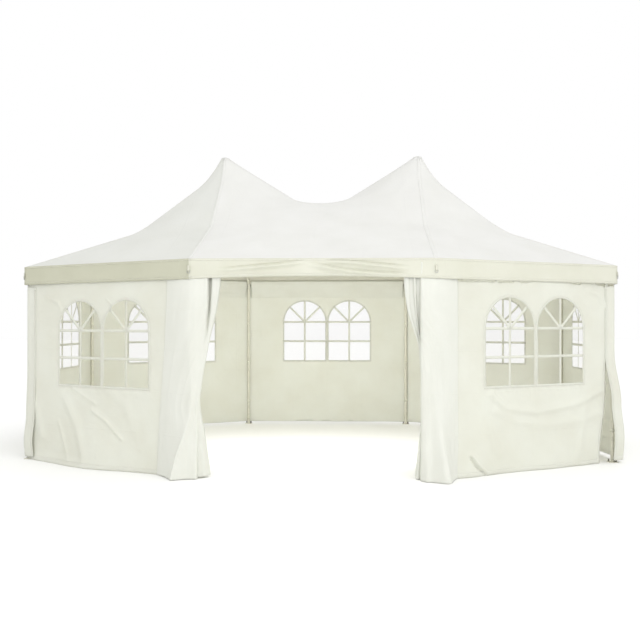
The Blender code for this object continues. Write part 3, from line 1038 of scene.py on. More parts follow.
class Line:
    """A line in plan that cloth hangs along, with outward to the right of its direction."""

    def __init__(self, points, middle, radius):
        places = [np.array(points[0], dtype=float)]
        for before, here, after in zip(points, points[1:], points[2:]):
            before, here, after = (np.array(point, dtype=float) for point in (before, here, after))
            start = here + (before - here) / np.linalg.norm(before - here) * radius
            end = here + (after - here) / np.linalg.norm(after - here) * radius
            for share in np.linspace(0, 1, 9):
                places.append((1 - share) ** 2 * start + 2 * share * (1 - share) * here + share**2 * end)
        places.append(np.array(points[-1], dtype=float))
        self.places = np.array(places)
        steps = np.diff(self.places, axis=0)
        lengths = np.linalg.norm(steps, axis=1)
        self.along = np.concatenate([[0], np.cumsum(lengths)])
        nearest = np.argmin(np.linalg.norm(self.places - np.array(middle), axis=1))
        offset = (np.array(middle) - self.places[nearest]) @ (steps[min(nearest, len(steps) - 1)])
        offset /= lengths[min(nearest, len(steps) - 1)]
        self.along -= self.along[nearest] + offset
        heading = np.unwrap(np.arctan2(steps[:, 1], steps[:, 0]))
        self.heading = np.concatenate([[heading[0]], (heading[:-1] + heading[1:]) / 2, [heading[-1]]])

    def at(self, along, stand):
        """Plan points at a distance along the line and a distance outward from it."""
        spot = np.stack([np.interp(along, self.along, self.places[:, axis]) for axis in (0, 1)], axis=1)
        heading = np.interp(along, self.along, self.heading)
        outward = np.stack([np.sin(heading), -np.cos(heading)], axis=1)
        return spot + outward * np.asarray(stand)[..., None]


# The cloth of a wall: spacing of its vertices, the radius with which it turns a corner, its gap beside
# a post, the wave of its foot, and its slack where SLACK gives no other
FINE_STEP = 0.013
PLAIN_STEP = 0.025
TURN_RADIUS = 0.028
SIDE_GAP = 0.006
FOOT_WAVE = 0.004
PLAIN_SLACK = 0.006

# How much a fine wall puckers round its windows and how far out, how far a flap is tucked in behind
# its neighbour, and how far before the corner an end wall's lower flap top begins
WINDOW_PUCKER = 0.0045
PUCKER_REACH = 0.09
FLAP_TUCK = 0.009
FLAP_START = 0.02

# Trim of the walls: width of the side hems and their middle from the edge, the thickness of a layer,
# how far hems are lifted off the cloth, and how much further the window tapes, the threads on the
# hems and the threads on the tapes are
SIDE_HEM = 0.026
SIDE_HEM_MIDDLE = 0.016
TRIM_LAYER = 0.0008
TRIM_LIFT = 0.0010
TAPE_LIFT = 0.0006
THREAD_LIFT = 0.0008
TAPE_THREAD_LIFT = 0.0014

# Windows: how far the film and the bars reach past the opening, how far behind the wall they lie,
# how thick they are, the step by which bars that cross clear each other, and the ring in the arch
FILM_MARGIN = 0.018
FILM_BEHIND = 0.0026
FILM_THICKNESS = 0.0005
BAR_LAP = 0.014
BAR_BEHIND = 0.0021
BAR_STAGGER = 0.0002
BAR_THICKNESS = 0.0006
ARCH_RING = 0.024

# Section of a rail's pocket, as (outward, up) from the rail: the slack tail on the room's side
POCKET_TAIL = ((-0.020, -0.03), (-0.014, -0.06), (-0.001, -0.10), (0.011, -0.14), (0.0165, -0.175))

# What sets a wall apart. Places are (along the wall from its middle, height), in metres.
WALL_DROP = {"front_right": 0.065, "front_left": 0.090}
WINDOW_SHIFT = {"front_right": 0.06}
FAR_EDGE = {"front_right": ((0.03, 0.885), (0.71, 0.955), (1.57, 0.995), (1.80, 0.990))}

# Creases: the points they run through, their half width and how far they stand out
CREASES = {
    "front_left": [
        ([(-0.51, 0.65), (-0.34, 0.40), (-0.17, 0.10)], 0.050, 0.020),
        ([(-0.14, 0.55), (0.06, 0.46), (0.28, 0.30)], 0.020, 0.015),
        ([(-1.04, 0.66), (-0.93, 0.50), (-0.86, 0.26)], 0.050, 0.016),
        ([(-0.52, 0.86), (-0.38, 0.74), (-0.10, 0.62)], 0.022, 0.010),
        ([(-0.60, 0.40), (-0.50, 0.20), (-0.42, 0.06)], 0.025, 0.010),
        ([(-0.80, 1.66), (-0.62, 1.60), (-0.55, 1.46)], 0.018, 0.008),
        ([(0.06, 1.62), (0.16, 1.54)], 0.014, 0.007),
        ([(0.05, 0.80), (0.30, 0.62), (0.52, 0.22)], 0.060, 0.009),
    ],
    "front_right": [
        ([(-0.715, 0.17), (-0.665, 0.10), (-0.60, 0.05), (-0.56, 0.02)], 0.013, -0.024),
        ([(-0.68, 0.17), (-0.63, 0.10), (-0.57, 0.05), (-0.53, 0.02)], 0.018, 0.012),
        ([(-0.49, 0.74), (-0.30, 0.60), (0.05, 0.55), (0.55, 0.60), (0.90, 0.72)], 0.030, 0.016),
        ([(-0.43, 0.58), (-0.15, 0.47), (0.20, 0.42), (0.60, 0.44), (0.90, 0.50)], 0.040, 0.010),
        ([(-0.45, 0.86), (-0.52, 0.55), (-0.40, 0.20)], 0.045, 0.010),
        ([(0.70, 0.72), (0.66, 0.40), (0.60, 0.10)], 0.050, 0.010),
        ([(0.72, 1.72), (0.88, 1.66), (0.97, 1.55)], 0.025, 0.010),
    ],
    "right_end": [
        ([(-0.60, 0.80), (-0.20, 0.55), (0.10, 0.10)], 0.045, 0.012),
        ([(0.75, 0.90), (0.45, 0.50), (0.40, 0.10)], 0.050, 0.012),
    ],
    "left_end": [
        ([(0.55, 0.85), (0.25, 0.50), (-0.05, 0.12)], 0.045, 0.012),
        ([(-0.80, 0.80), (-0.50, 0.45), (-0.45, 0.10)], 0.050, 0.012),
    ],
    "back": [([(-0.95, 0.45), (-0.30, 0.30), (0.35, 0.34)], 0.060, -0.008)],
    "back_left": [([(0.70, 0.70), (0.35, 0.40), (0.20, 0.10)], 0.050, 0.009)],
    "back_right": [([(-0.70, 0.70), (-0.35, 0.42), (-0.15, 0.10)], 0.050, 0.009)],
}

# Where the foot of a wall spreads: place along it, half width, height it starts at, how far out
SPREADS = {
    "front_left": [(-0.06, 0.42, 0.60, 0.11), (-0.85, 0.20, 0.35, 0.025), (-0.45, 0.45, 0.10, 0.10)],
    "front_right": [(-0.72, 0.22, 0.45, 0.035), (0.25, 0.35, 0.30, 0.018)],
    "right_end": [(0.10, 0.50, 0.55, 0.04)],
    "left_end": [(-0.20, 0.50, 0.55, 0.04)],
}

# A corner of an end wall that stands out from its post: place along, half width, way, reach by height
KICKS = {
    "right_end": [(-1.12, 0.42, (0.97, -0.25), ((0, 0.080), (0.25, 0.095), (0.60, 0.065), (1.1, 0.0)))],
    "left_end": [(1.12, 0.30, (-0.97, -0.25), ((0, 0.020), (0.18, 0.035), (0.45, 0.012), (0.9, 0.0)))],
}
SLACK = {"front_left": 0.010, "front_right": 0.008, "right_end": 0.008, "left_end": 0.008}
FINE_WALLS = ("front_left", "front_right")

# How the front right wall sags: its height between the straps, how far a strap lifts it and how wide
# each one holds it, and how far its far corner drops and over which places
SAG_HEIGHT = 1.767
STRAP_LIFT = 0.045
STRAP_HOLDS = (0.08, 0.012, 0.035, 0.24, 0.09)
CORNER_DROP = 0.02
CORNER_DROP_PLACES = (0.88, 0.97)

# Places along a bay of the straps that hang its cloth from the rail
STRAPS = {
    "doorway": (-0.93, 0.93),
    "front_right": (-0.960, -0.416, -0.168, 0.250, 0.735),
    "front_left": (-0.93, -0.465, 0.0, 0.465, 0.93),
}


class Wall:
    """One hung wall: its line in plan, its outline, and how its cloth stands off the line."""

    def __init__(self, name):
        self.name = name
        self.index = BAYS.index(name)
        self.is_end = name.endswith("end")
        self.drop = WALL_DROP.get(name, 0.0)
        self.shift = WINDOW_SHIFT.get(name, 0.0)
        self.top = WALL_TOP - self.drop
        self.sill = WINDOW_SILL - self.drop
        self.spring = WINDOW_SPRING - self.drop
        self.step = FINE_STEP if name in FINE_WALLS else PLAIN_STEP
        self.foot = LOW_WALL_FOOT if self.drop else WALL_FOOT
        start, along, outward = bay_line(self.index)
        middle = start + along * BAY / 2 - outward * WALL_INSET
        first, last = NAMES[self.index], NAMES[(self.index + 1) % SIDES]
        if self.is_end:
            proud = WALL_INSET - FLAP_PROUD
            turns = [meeting(first, proud, WALL_INSET), meeting(last, WALL_INSET, proud)]
            points = [
                turns[0] - bay_line(self.index - 1)[1] * FLAP_WIDTH,
                *turns,
                turns[1] + bay_line(self.index + 1)[1] * FLAP_WIDTH,
            ]
        else:
            points = [meeting(first, WALL_INSET, WALL_INSET), meeting(last, WALL_INSET, WALL_INSET)]
        self.line = Line([tuple(point) for point in points], tuple(middle), TURN_RADIUS)
        side_gap = 0 if self.is_end else SIDE_GAP
        self.left = self.line.along[0] + side_gap
        self.right = self.line.along[-1] - side_gap
        self.turn = (self.right - self.left) / 2 - FLAP_WIDTH if self.is_end else BAY / 2

    def far_edge(self, height):
        """Right edge of the cloth by height, which leans where the wall says so."""
        keys = FAR_EDGE.get(self.name)
        return keyed(height, keys) if keys else np.full_like(height, self.right)

    def far_edge_at(self, height):
        """The right edge at one height, as a plain number."""
        return float(self.far_edge(np.array([height]))[0])

    def top_edge(self, along):
        """Top of the wall: level, or sagging between its straps where it hangs low."""
        if self.name == "front_right":
            held = np.zeros_like(along)
            for place, width in zip(STRAPS[self.name], STRAP_HOLDS):
                held = np.maximum(held, np.exp(-(((along - place) / width) ** 4)))
            return SAG_HEIGHT + STRAP_LIFT * held - CORNER_DROP * ramp(along, *CORNER_DROP_PLACES)
        top = np.full_like(along, self.top)
        return np.where(np.abs(along) > self.turn - FLAP_START, FLAP_TOP, top) if self.is_end else top

    def foot_edge(self, along):
        wave = ripples(np.stack([along * 4, along * 0, along * 0], axis=1), self.index)
        return np.maximum(self.foot + FOOT_WAVE * wave, GROUND_GAP)

    def outline(self):
        """The cut of the wall, anticlockwise from its lower left corner."""
        right_foot = self.far_edge_at(self.foot)
        low = np.arange(self.left, right_foot, self.step)
        low = np.linspace(self.left, right_foot, len(low) + 1)
        foot = np.column_stack([low, self.foot_edge(low)])
        high = np.linspace(self.far_edge_at(self.top), self.left, len(low))
        top = np.column_stack([high, self.top_edge(high)])
        heights = np.linspace(foot[-1, 1], top[0, 1], int((top[0, 1] - foot[-1, 1]) / self.step))[1:-1]
        right = np.column_stack([self.far_edge(heights), heights])
        heights = np.linspace(top[-1, 1], foot[0, 1], len(heights) + 2)[1:-1]
        left = np.column_stack([np.full_like(heights, self.left), heights])
        return np.concatenate([foot, right, top, left])

    def window_centres(self):
        """Places along the wall of the middles of its two windows."""
        return [self.shift + side * (WINDOW_WIDTH + WINDOW_STRIP) / 2 for side in (-1, 1)]

    def windows(self, grow=0.0):
        """Outlines of both windows, grown by a margin."""
        made = []
        half = WINDOW_WIDTH / 2 + grow
        sill = self.sill - grow
        angles = np.linspace(0, math.pi, 33)
        for centre in self.window_centres():
            head = np.column_stack([centre + half * np.cos(angles), self.spring + half * np.sin(angles)])
            made.append(np.concatenate([[(centre - half, sill), (centre + half, sill)], head]))
        return made

    def stand_off(self, along, height):
        """How far the cloth stands out from its line at each place."""
        slack = SLACK.get(self.name, PLAIN_SLACK)
        low = 1 - ramp(height, 0.2, 1.6)
        spots = np.column_stack([along * 2.4, height * 0.6, np.full_like(along, self.index)])
        out = slack * ripples(spots, 1, 2) * (0.4 + 0.9 * low)
        spots = np.column_stack([along * 5.5 + height * 1.5, height * 2.2 - along, np.full_like(along, 4.0)])
        out = out + slack * 0.35 * ripples(spots, 2 + self.index) * (0.5 + low)
        if self.name in FINE_WALLS:
            spots = np.column_stack([along * 13, height * 13, np.zeros_like(along)])
            near = np.exp(-((self.window_distance(along, height) / PUCKER_REACH) ** 2))
            out = out + WINDOW_PUCKER * ripples(spots, 6 + self.index, 2) * near
        for points, width, size in CREASES.get(self.name, ()):
            away = np.full_like(along, np.inf)
            for start, end in zip(points, points[1:]):
                away = np.minimum(away, line_distance(np.column_stack([along, height]), start, end))
            out = out + size * np.exp(-((away / width) ** 2))
        for place, width, start, size in SPREADS.get(self.name, ()):
            out = out + size * np.exp(-(((along - place) / width) ** 2)) * (1 - ramp(height, -0.1, start))
        # Flaps are tucked in, and cloth lies still near the posts and just below the rail
        flap = FLAP_TUCK * ramp(np.abs(along), self.turn + 0.03, self.turn + 0.10)
        fixed = 1 - ramp(np.abs(along), self.turn - 0.22, self.turn - 0.05)
        hung = 1 - ramp(height, self.top - 0.16, self.top - 0.02)
        return out * fixed * hung - flap

    def window_distance(self, along, height):
        """Distance from the nearest window's edge, inside or out."""
        half = WINDOW_WIDTH / 2
        nearest = np.full_like(along, np.inf)
        for centre in self.window_centres():
            from_head = np.abs(np.hypot(along - centre, height - self.spring) - half)
            below = np.maximum(np.abs(along - centre) - half, self.sill - height)
            nearest = np.minimum(nearest, np.where(height > self.spring, from_head, np.abs(below)))
        return nearest

    def place(self, points, lift):
        """Points on the flat wall, put where the hung cloth is and lifted off it."""
        points = np.asarray(points, dtype=float)
        along, height = points[:, 0], points[:, 1]
        spots = self.line.at(along, self.stand_off(along, height) + lift)
        for place, width, way, reach in KICKS.get(self.name, ()):
            beyond = np.sign(place) * (along - place) > 0
            near = np.where(beyond, 1, np.exp(-(((along - place) / width) ** 2)))
            spots = spots + np.array(way) * (near * keyed(height, reach))[:, None]
        return np.column_stack([spots, height])


def inside(points, polygon):
    """Which flat points lie inside a closed polygon."""
    x, y = points[:, 0], points[:, 1]
    found = np.zeros(len(points), dtype=bool)
    for (x1, y1), (x2, y2) in zip(polygon, np.roll(polygon, -1, axis=0)):
        if y1 != y2:
            crosses = (y1 > y) != (y2 > y)
            found ^= crosses & (x < (x2 - x1) * (y - y1) / (y2 - y1) + x1)
    return found


def cut_sheet(outline, holes, step):
    """Triangles that fill an outline but not its holes, close to even in size."""
    loops = [outline, *(resample([*hole, hole[0]], step)[:-1] for hole in holes)]
    edge_points = np.concatenate(loops)
    edges, start = [], 0
    for loop in loops:
        count = len(loop)
        edges.extend((start + spot, start + (spot + 1) % count) for spot in range(count))
        start += count
    low, high = outline.min(axis=0), outline.max(axis=0)
    across = np.arange(low[0] + step / 2, high[0], step)
    up = np.arange(low[1] + step / 2, high[1], step)
    grid = np.stack(np.meshgrid(across, up), axis=2).reshape(-1, 2)
    near = kdtree.KDTree(len(edge_points))
    for number, (x, y) in enumerate(edge_points):
        near.insert((x, y, 0), number)
    near.balance()
    keep = inside(grid, outline)
    for hole in holes:
        keep &= ~inside(grid, np.asarray(hole))
    grid = grid[keep]
    clear = [near.find((x, y, 0))[2] > step * 0.45 for x, y in grid]
    points = np.concatenate([edge_points, grid[clear]])
    made = geometry.delaunay_2d_cdt([Vector(point) for point in points], edges, [], 0, 1e-7)
    verts = np.array([tuple(vert) for vert in made[0]])
    faces = np.array(made[2])
    middles = verts[faces].mean(axis=1)
    keep = inside(middles, outline)
    for hole in holes:
        keep &= ~inside(middles, np.asarray(hole))
    return verts, faces[keep].tolist()


def make_wall(wall, tent, cloth):
    """The wall's cloth with its windows cut out, its hems and its window tapes."""
    flat, faces = cut_sheet(wall.outline(), wall.windows(), wall.step)
    sheet = mesh_piece("cloth_" + wall.name, wall.place(flat, 0.0), faces, cloth, flat)
    thicken(sheet, tent.cloth_thickness)
    finish_piece(sheet, "wall_fabric", "wall_" + wall.name)
    hem_foot = np.linspace(wall.left, wall.far_edge_at(wall.foot), 90)
    hem = np.column_stack([hem_foot, wall.foot_edge(hem_foot) + tent.hem_width / 2 + 0.002])
    top_left = FLAP_TOP if wall.is_end else wall.top
    heights = np.linspace(wall.foot + 0.02, top_left - 0.03, 60)
    left = np.column_stack([np.full_like(heights, wall.left + SIDE_HEM_MIDDLE), heights])
    right = np.column_stack([wall.far_edge(heights) - SIDE_HEM_MIDDLE, heights])
    lift = tent.cloth_thickness / 2 + TRIM_LIFT
    hems = strips("hems_" + wall.name, [hem], tent.hem_width, wall.place, lift, cloth, wall.step * 2, 4)
    sides = strips(
        "side_hems_" + wall.name, [left, right], SIDE_HEM, wall.place, lift, cloth, wall.step * 2
    )
    tapes = strips(
        "window_tapes_" + wall.name,
        wall.windows(tent.tape_width / 2 - 0.003),
        tent.tape_width,
        wall.place,
        lift + TAPE_LIFT,
        cloth,
        wall.step,
        closed=True,
    )
    pieces = [hems, sides, tapes]
    for piece in pieces:
        thicken(piece, TRIM_LAYER)
        finish_piece(piece, "wall_fabric")
    rows = [
        wall.place(hem + np.array([0, tent.hem_width / 2 - 0.005]), lift + THREAD_LIFT),
        wall.place(left + np.array([0.009, 0]), lift + THREAD_LIFT),
        wall.place(right - np.array([0.009, 0]), lift + THREAD_LIFT),
    ]
    for outline in wall.windows(tent.tape_width - 0.007):
        path = resample([*outline, outline[0]], wall.step * 1.5)
        rows.append(wall.place(path, lift + TAPE_THREAD_LIFT))
    pieces.append(sew("stitching_" + wall.name, rows, tent))
    return sheet, pieces


def make_sleeve(wall, tent, cloth):
    """Pocket at the top of a wall that wraps its rail, seen from inside as a soft band."""
    gap = POST_INSET - WALL_INSET - 0.0014
    over = round_points(POCKET_RADIUS, 0, math.pi, 9)
    section = [(gap, -0.10), (gap, -0.05), *over, *POCKET_TAIL, (gap - 0.001, -0.205)]
    section = resample(section, 0.008)
    half = BAY / 2 - POST_INSET
    along = np.linspace(-half, half, 100)
    start, heading, outward = (np.array(part) for part in bay_line(wall.index))
    verts, uv = [], []
    for (reach, level), length in zip(section, run_along(section)):
        free = ramp(-reach, -0.012, 0.010) * ramp(-level, 0.0, 0.06)
        spots = np.column_stack([along * 5, along * 0 + level * 9, along * 0])
        wave = 0.006 * free * ripples(spots, wall.index, 2)
        inset = POST_INSET - reach + wave
        plan = start + heading * (BAY / 2 + along[:, None]) - outward * inset[:, None]
        verts.extend(np.column_stack([plan, np.full(len(along), RAIL_HEIGHT + level)]))
        uv.extend(np.column_stack([along, np.full(len(along), length)]))
    faces = grid_faces(len(section), len(along))
    sleeve = mesh_piece("sleeve_" + wall.name, verts, faces, cloth, uv)
    thicken(sleeve, tent.cloth_thickness)
    return finish_piece(sleeve, "wall_fabric")


def bar_lines(wall):
    """Centre lines of the window bars, reaching a little behind the cloth."""
    half, sill, spring = WINDOW_WIDTH / 2, wall.sill, wall.spring
    slant = (half + BAR_LAP) * math.sqrt(0.5)
    lines = []
    for centre in wall.window_centres():
        lines.append([(centre, sill - BAR_LAP), (centre, spring + half + BAR_LAP)])
        for height in ((sill + spring) / 2, spring):
            lines.append([(centre - half - BAR_LAP, height), (centre + half + BAR_LAP, height)])
        for way in (-1, 1):
            lines.append([(centre, spring), (centre + way * slant, spring + slant)])
        lines.append(round_points(ARCH_RING, 0.05, math.pi - 0.05, 14, (centre, spring)))
    return lines


def make_window(wall, tent, film_finish, bar_cloth):
    """Clear film behind both openings, and the bars welded to its outside."""
    panes = []
    for outline in wall.windows(FILM_MARGIN):
        edge = resample([*outline, outline[0]], wall.step)[:-1]
        flat, faces = cut_sheet(edge, [], wall.step)
        panes.append(mesh_piece("pane", wall.place(flat, -FILM_BEHIND), faces, film_finish, flat))
    film = join_pieces("film_" + wall.name, panes)
    thicken(film, FILM_THICKNESS)
    finish_piece(film, "window_film", "window_film_" + wall.name)
    bars = []
    lines = bar_lines(wall)
    for number, line in enumerate(lines):
        lift = BAR_STAGGER * (number % (len(lines) // 2)) - BAR_BEHIND
        bars.append(strips("bar", [line], tent.bar_width, wall.place, lift, bar_cloth, wall.step))
    made = join_pieces("window_bars_" + wall.name, bars)
    thicken(made, BAR_THICKNESS)
    finish_piece(made, "wall_fabric")
    return [film, made]


def join_pieces(name, pieces):
    """Several objects as one."""
    shape = bmesh.new()
    for piece in pieces:
        shape.from_mesh(piece.data)
    mesh = bpy.data.meshes.new(name)
    shape.to_mesh(mesh)
    shape.free()
    for finish in pieces[0].data.materials:
        mesh.materials.append(finish)
    for piece in pieces:
        bpy.data.objects.remove(piece)
    made = bpy.data.objects.new(name, mesh)
    bpy.context.scene.collection.objects.link(made)
    return made


# Curtains

# A curtain: rows down it and columns across it, its gap to the ground, the radius with which its line
# turns round the post, how many spare folds lie behind and how far apart, the depth of its small
# creases and the heights between which they stop under the valance
CURTAIN_ROWS = 140
CURTAIN_COLUMNS = 230
CURTAIN_FOOT = 0.004
POST_TURN = 0.05
SPARE_FOLDS = 4
SPARE_SPACING = 0.014
CURTAIN_CREASE = 0.0025
CREASE_STOP = (1.68, 1.76)

# How high each curtain's foot is lifted, as (share of its width, height)
LEFT_FOOT = ((0, 0.0), (0.5, 0.0), (0.7, 0.02), (1, 0.07))
RIGHT_FOOT = ((0, 0.0), (0.6, 0.0), (0.75, 0.03), (1, 0.04))

# Rows of a curtain over which a fold line is rounded
FOLD_ROUNDING = 9

# Lines down each curtain, from its edge on the wall to its edge in the doorway. At every height
# below a line has its reach, negative on the wall and positive into the doorway, then how far
# it stands out.
FOLD_HEIGHTS = (0.0, 0.2, 0.43, 0.66, 0.9, 1.2, 1.5, 1.7, 1.76, 1.93)
LEFT_FOLDS = [
    (
        (-0.392, -0.383, -0.370, -0.350, -0.325, -0.300, -0.280, -0.270, -0.268, -0.262),
        (-0.016, -0.016, -0.016, -0.016, -0.016, -0.016, -0.016, -0.016, -0.016, -0.016),
    ),
    (
        (-0.240, -0.230, -0.210, -0.180, -0.165, -0.155, -0.145, -0.140, -0.140, -0.140),
        (0.050, 0.040, 0.022, 0.010, 0.006, 0.004, 0.004, 0.004, -0.010, -0.010),
    ),
    (
        (-0.120, -0.100, -0.055, 0.010, 0.000, -0.020, -0.025, -0.025, -0.025, -0.025),
        (0.128, 0.085, 0.040, 0.014, 0.010, 0.010, 0.010, 0.008, -0.005, -0.005),
    ),
    (
        (-0.090, -0.065, -0.012, 0.040, 0.044, 0.046, 0.046, 0.046, 0.046, 0.046),
        (0.150, 0.105, 0.050, 0.018, 0.012, 0.012, 0.012, 0.010, -0.004, -0.004),
    ),
    (
        (-0.065, -0.045, 0.004, 0.052, 0.066, 0.085, 0.095, 0.098, 0.098, 0.098),
        (0.110, 0.074, 0.034, 0.013, 0.012, 0.012, 0.012, 0.010, -0.004, -0.004),
    ),
    (
        (0.000, 0.010, 0.035, 0.064, 0.083, 0.115, 0.130, 0.135, 0.135, 0.135),
        (0.020, 0.012, 0.004, 0.006, 0.010, 0.012, 0.012, 0.010, -0.004, -0.004),
    ),
    (
        (0.066, 0.070, 0.075, 0.077, 0.098, 0.140, 0.163, 0.168, 0.168, 0.170),
        (0.010, 0.004, 0.002, 0.006, 0.008, 0.008, 0.006, 0.004, -0.005, -0.005),
    ),
    (
        (0.074, 0.078, 0.083, 0.083, 0.106, 0.149, 0.176, 0.185, 0.186, 0.188),
        (-0.045, -0.040, -0.015, 0.002, 0.004, 0.002, -0.050, -0.075, -0.075, -0.075),
    ),
    (
        (0.090, 0.092, 0.092, 0.087, 0.113, 0.159, 0.195, 0.208, 0.209, 0.210),
        (-0.060, -0.050, -0.020, -0.001, 0.001, -0.004, -0.012, -0.012, -0.012, -0.012),
    ),
    (
        (0.125, 0.116, 0.104, 0.090, 0.120, 0.170, 0.225, 0.246, 0.246, 0.246),
        (-0.066, -0.052, -0.022, -0.004, -0.003, -0.008, -0.010, -0.012, -0.012, -0.012),
    ),
    (
        (0.150, 0.135, 0.118, 0.092, 0.123, 0.176, 0.243, 0.274, 0.276, 0.280),
        (-0.090, -0.065, -0.030, -0.010, -0.008, -0.012, -0.012, -0.014, -0.014, -0.014),
    ),
    (
        (0.172, 0.150, 0.124, 0.088, 0.115, 0.164, 0.230, 0.258, 0.260, 0.262),
        (-0.140, -0.100, -0.050, -0.030, -0.030, -0.045, -0.055, -0.058, -0.058, -0.058),
    ),
]
RIGHT_FOLDS = [
    (
        (-0.250, -0.248, -0.245, -0.242, -0.241, -0.241, -0.241, -0.241, -0.241, -0.241),
        (-0.016, -0.016, -0.016, -0.016, -0.016, -0.016, -0.016, -0.016, -0.016, -0.016),
    ),
    (
        (-0.140, -0.132, -0.130, -0.126, -0.122, -0.120, -0.120, -0.120, -0.120, -0.120),
        (0.070, 0.042, 0.020, 0.008, 0.004, 0.004, 0.004, 0.002, -0.010, -0.010),
    ),
    (
        (-0.030, -0.026, -0.020, -0.014, -0.010, -0.010, -0.010, -0.010, -0.010, -0.010),
        (0.185, 0.130, 0.062, 0.024, 0.012, 0.012, 0.012, 0.010, -0.004, -0.004),
    ),
    (
        (0.040, 0.042, 0.046, 0.050, 0.052, 0.055, 0.058, 0.060, 0.060, 0.060),
        (0.095, 0.058, 0.024, 0.010, 0.008, 0.008, 0.010, 0.008, -0.005, -0.005),
    ),
    (
        (0.095, 0.096, 0.100, 0.100, 0.100, 0.102, 0.104, 0.105, 0.105, 0.105),
        (0.078, 0.052, 0.026, 0.014, 0.012, 0.012, 0.012, 0.010, -0.004, -0.004),
    ),
    (
        (0.137, 0.136, 0.136, 0.137, 0.137, 0.138, 0.140, 0.140, 0.140, 0.140),
        (0.010, 0.004, -0.002, -0.004, -0.004, -0.004, -0.004, -0.006, -0.010, -0.010),
    ),
    (
        (0.130, 0.124, 0.120, 0.120, 0.122, 0.128, 0.142, 0.148, 0.148, 0.148),
        (-0.060, -0.048, -0.036, -0.034, -0.036, -0.060, -0.140, -0.170, -0.170, -0.170),
    ),
    (
        (0.160, 0.146, 0.128, 0.124, 0.126, 0.134, 0.168, 0.174, 0.174, 0.174),
        (-0.055, -0.042, -0.028, -0.026, -0.030, -0.066, -0.050, -0.022, -0.020, -0.020),
    ),
    (
        (0.176, 0.156, 0.132, 0.126, 0.128, 0.138, 0.180, 0.201, 0.202, 0.202),
        (-0.075, -0.055, -0.034, -0.030, -0.034, -0.070, -0.052, -0.022, -0.020, -0.020),
    ),
    (
        (0.168, 0.150, 0.128, 0.124, 0.126, 0.138, 0.192, 0.210, 0.210, 0.210),
        (-0.110, -0.080, -0.046, -0.040, -0.044, -0.080, -0.150, -0.170, -0.170, -0.170),
    ),
    (
        (0.170, 0.152, 0.130, 0.126, 0.128, 0.142, 0.220, 0.234, 0.234, 0.234),
        (-0.118, -0.088, -0.052, -0.046, -0.050, -0.086, -0.052, -0.022, -0.020, -0.020),
    ),
    (
        (0.174, 0.154, 0.132, 0.128, 0.130, 0.146, 0.244, 0.275, 0.279, 0.280),
        (-0.130, -0.096, -0.058, -0.052, -0.056, -0.092, -0.056, -0.024, -0.020, -0.020),
    ),
]


def fold_lines(folds, height):
    """Reach and stand of every fold line at many heights, rounded where their slope changes."""
    weights = np.ones(FOLD_ROUNDING) / FOLD_ROUNDING
    lines = []
    for values in (np.array(part) for fold in folds for part in fold):
        rough = np.interp(height, FOLD_HEIGHTS, values)
        padded = np.pad(rough, FOLD_ROUNDING // 2, mode="edge")
        lines.append(np.convolve(padded, weights, mode="valid"))
    return list(zip(lines[::2], lines[1::2]))


def spare_folds(reach, stand):
    """The rest of a curtain's width, folded to and fro behind what shows."""
    made = []
    for number in range(1, SPARE_FOLDS + 1):
        far = np.full_like(reach, 0.07) if number % 2 else reach * 0.92
        made.append((far, stand - SPARE_SPACING * number))
    return made


def through_points(points, count):
    """Even points on a smooth curve through rows of points, for every row at once."""
    lead = 2 * points[:, :1] - points[:, 1:2]
    trail = 2 * points[:, -1:] - points[:, -2:-1]
    padded = np.concatenate([lead, points, trail], axis=1)
    dense = []
    for spot in range(points.shape[1] - 1):
        before, start, end, after = (padded[:, spot + step] for step in range(4))
        for share in np.linspace(0, 1, 16, endpoint=False):
            bend = 0.5 * (
                2 * start
                + (end - before) * share
                + (2 * before - 5 * start + 4 * end - after) * share**2
                + (3 * start - before - 3 * end + after) * share**3
            )
            dense.append(bend)
    dense.append(padded[:, -2])
    dense = np.stack(dense, axis=1)
    steps = np.linalg.norm(np.diff(dense, axis=1), axis=2)
    along = np.concatenate([np.zeros((len(dense), 1)), np.cumsum(steps, axis=1)], axis=1)
    made = np.empty((len(dense), count, 2))
    for row in range(len(dense)):
        wanted = np.linspace(0, along[row, -1], count)
        for axis in (0, 1):
            made[row, :, axis] = np.interp(wanted, along[row], dense[row, :, axis])
    return made, along[:, -1]


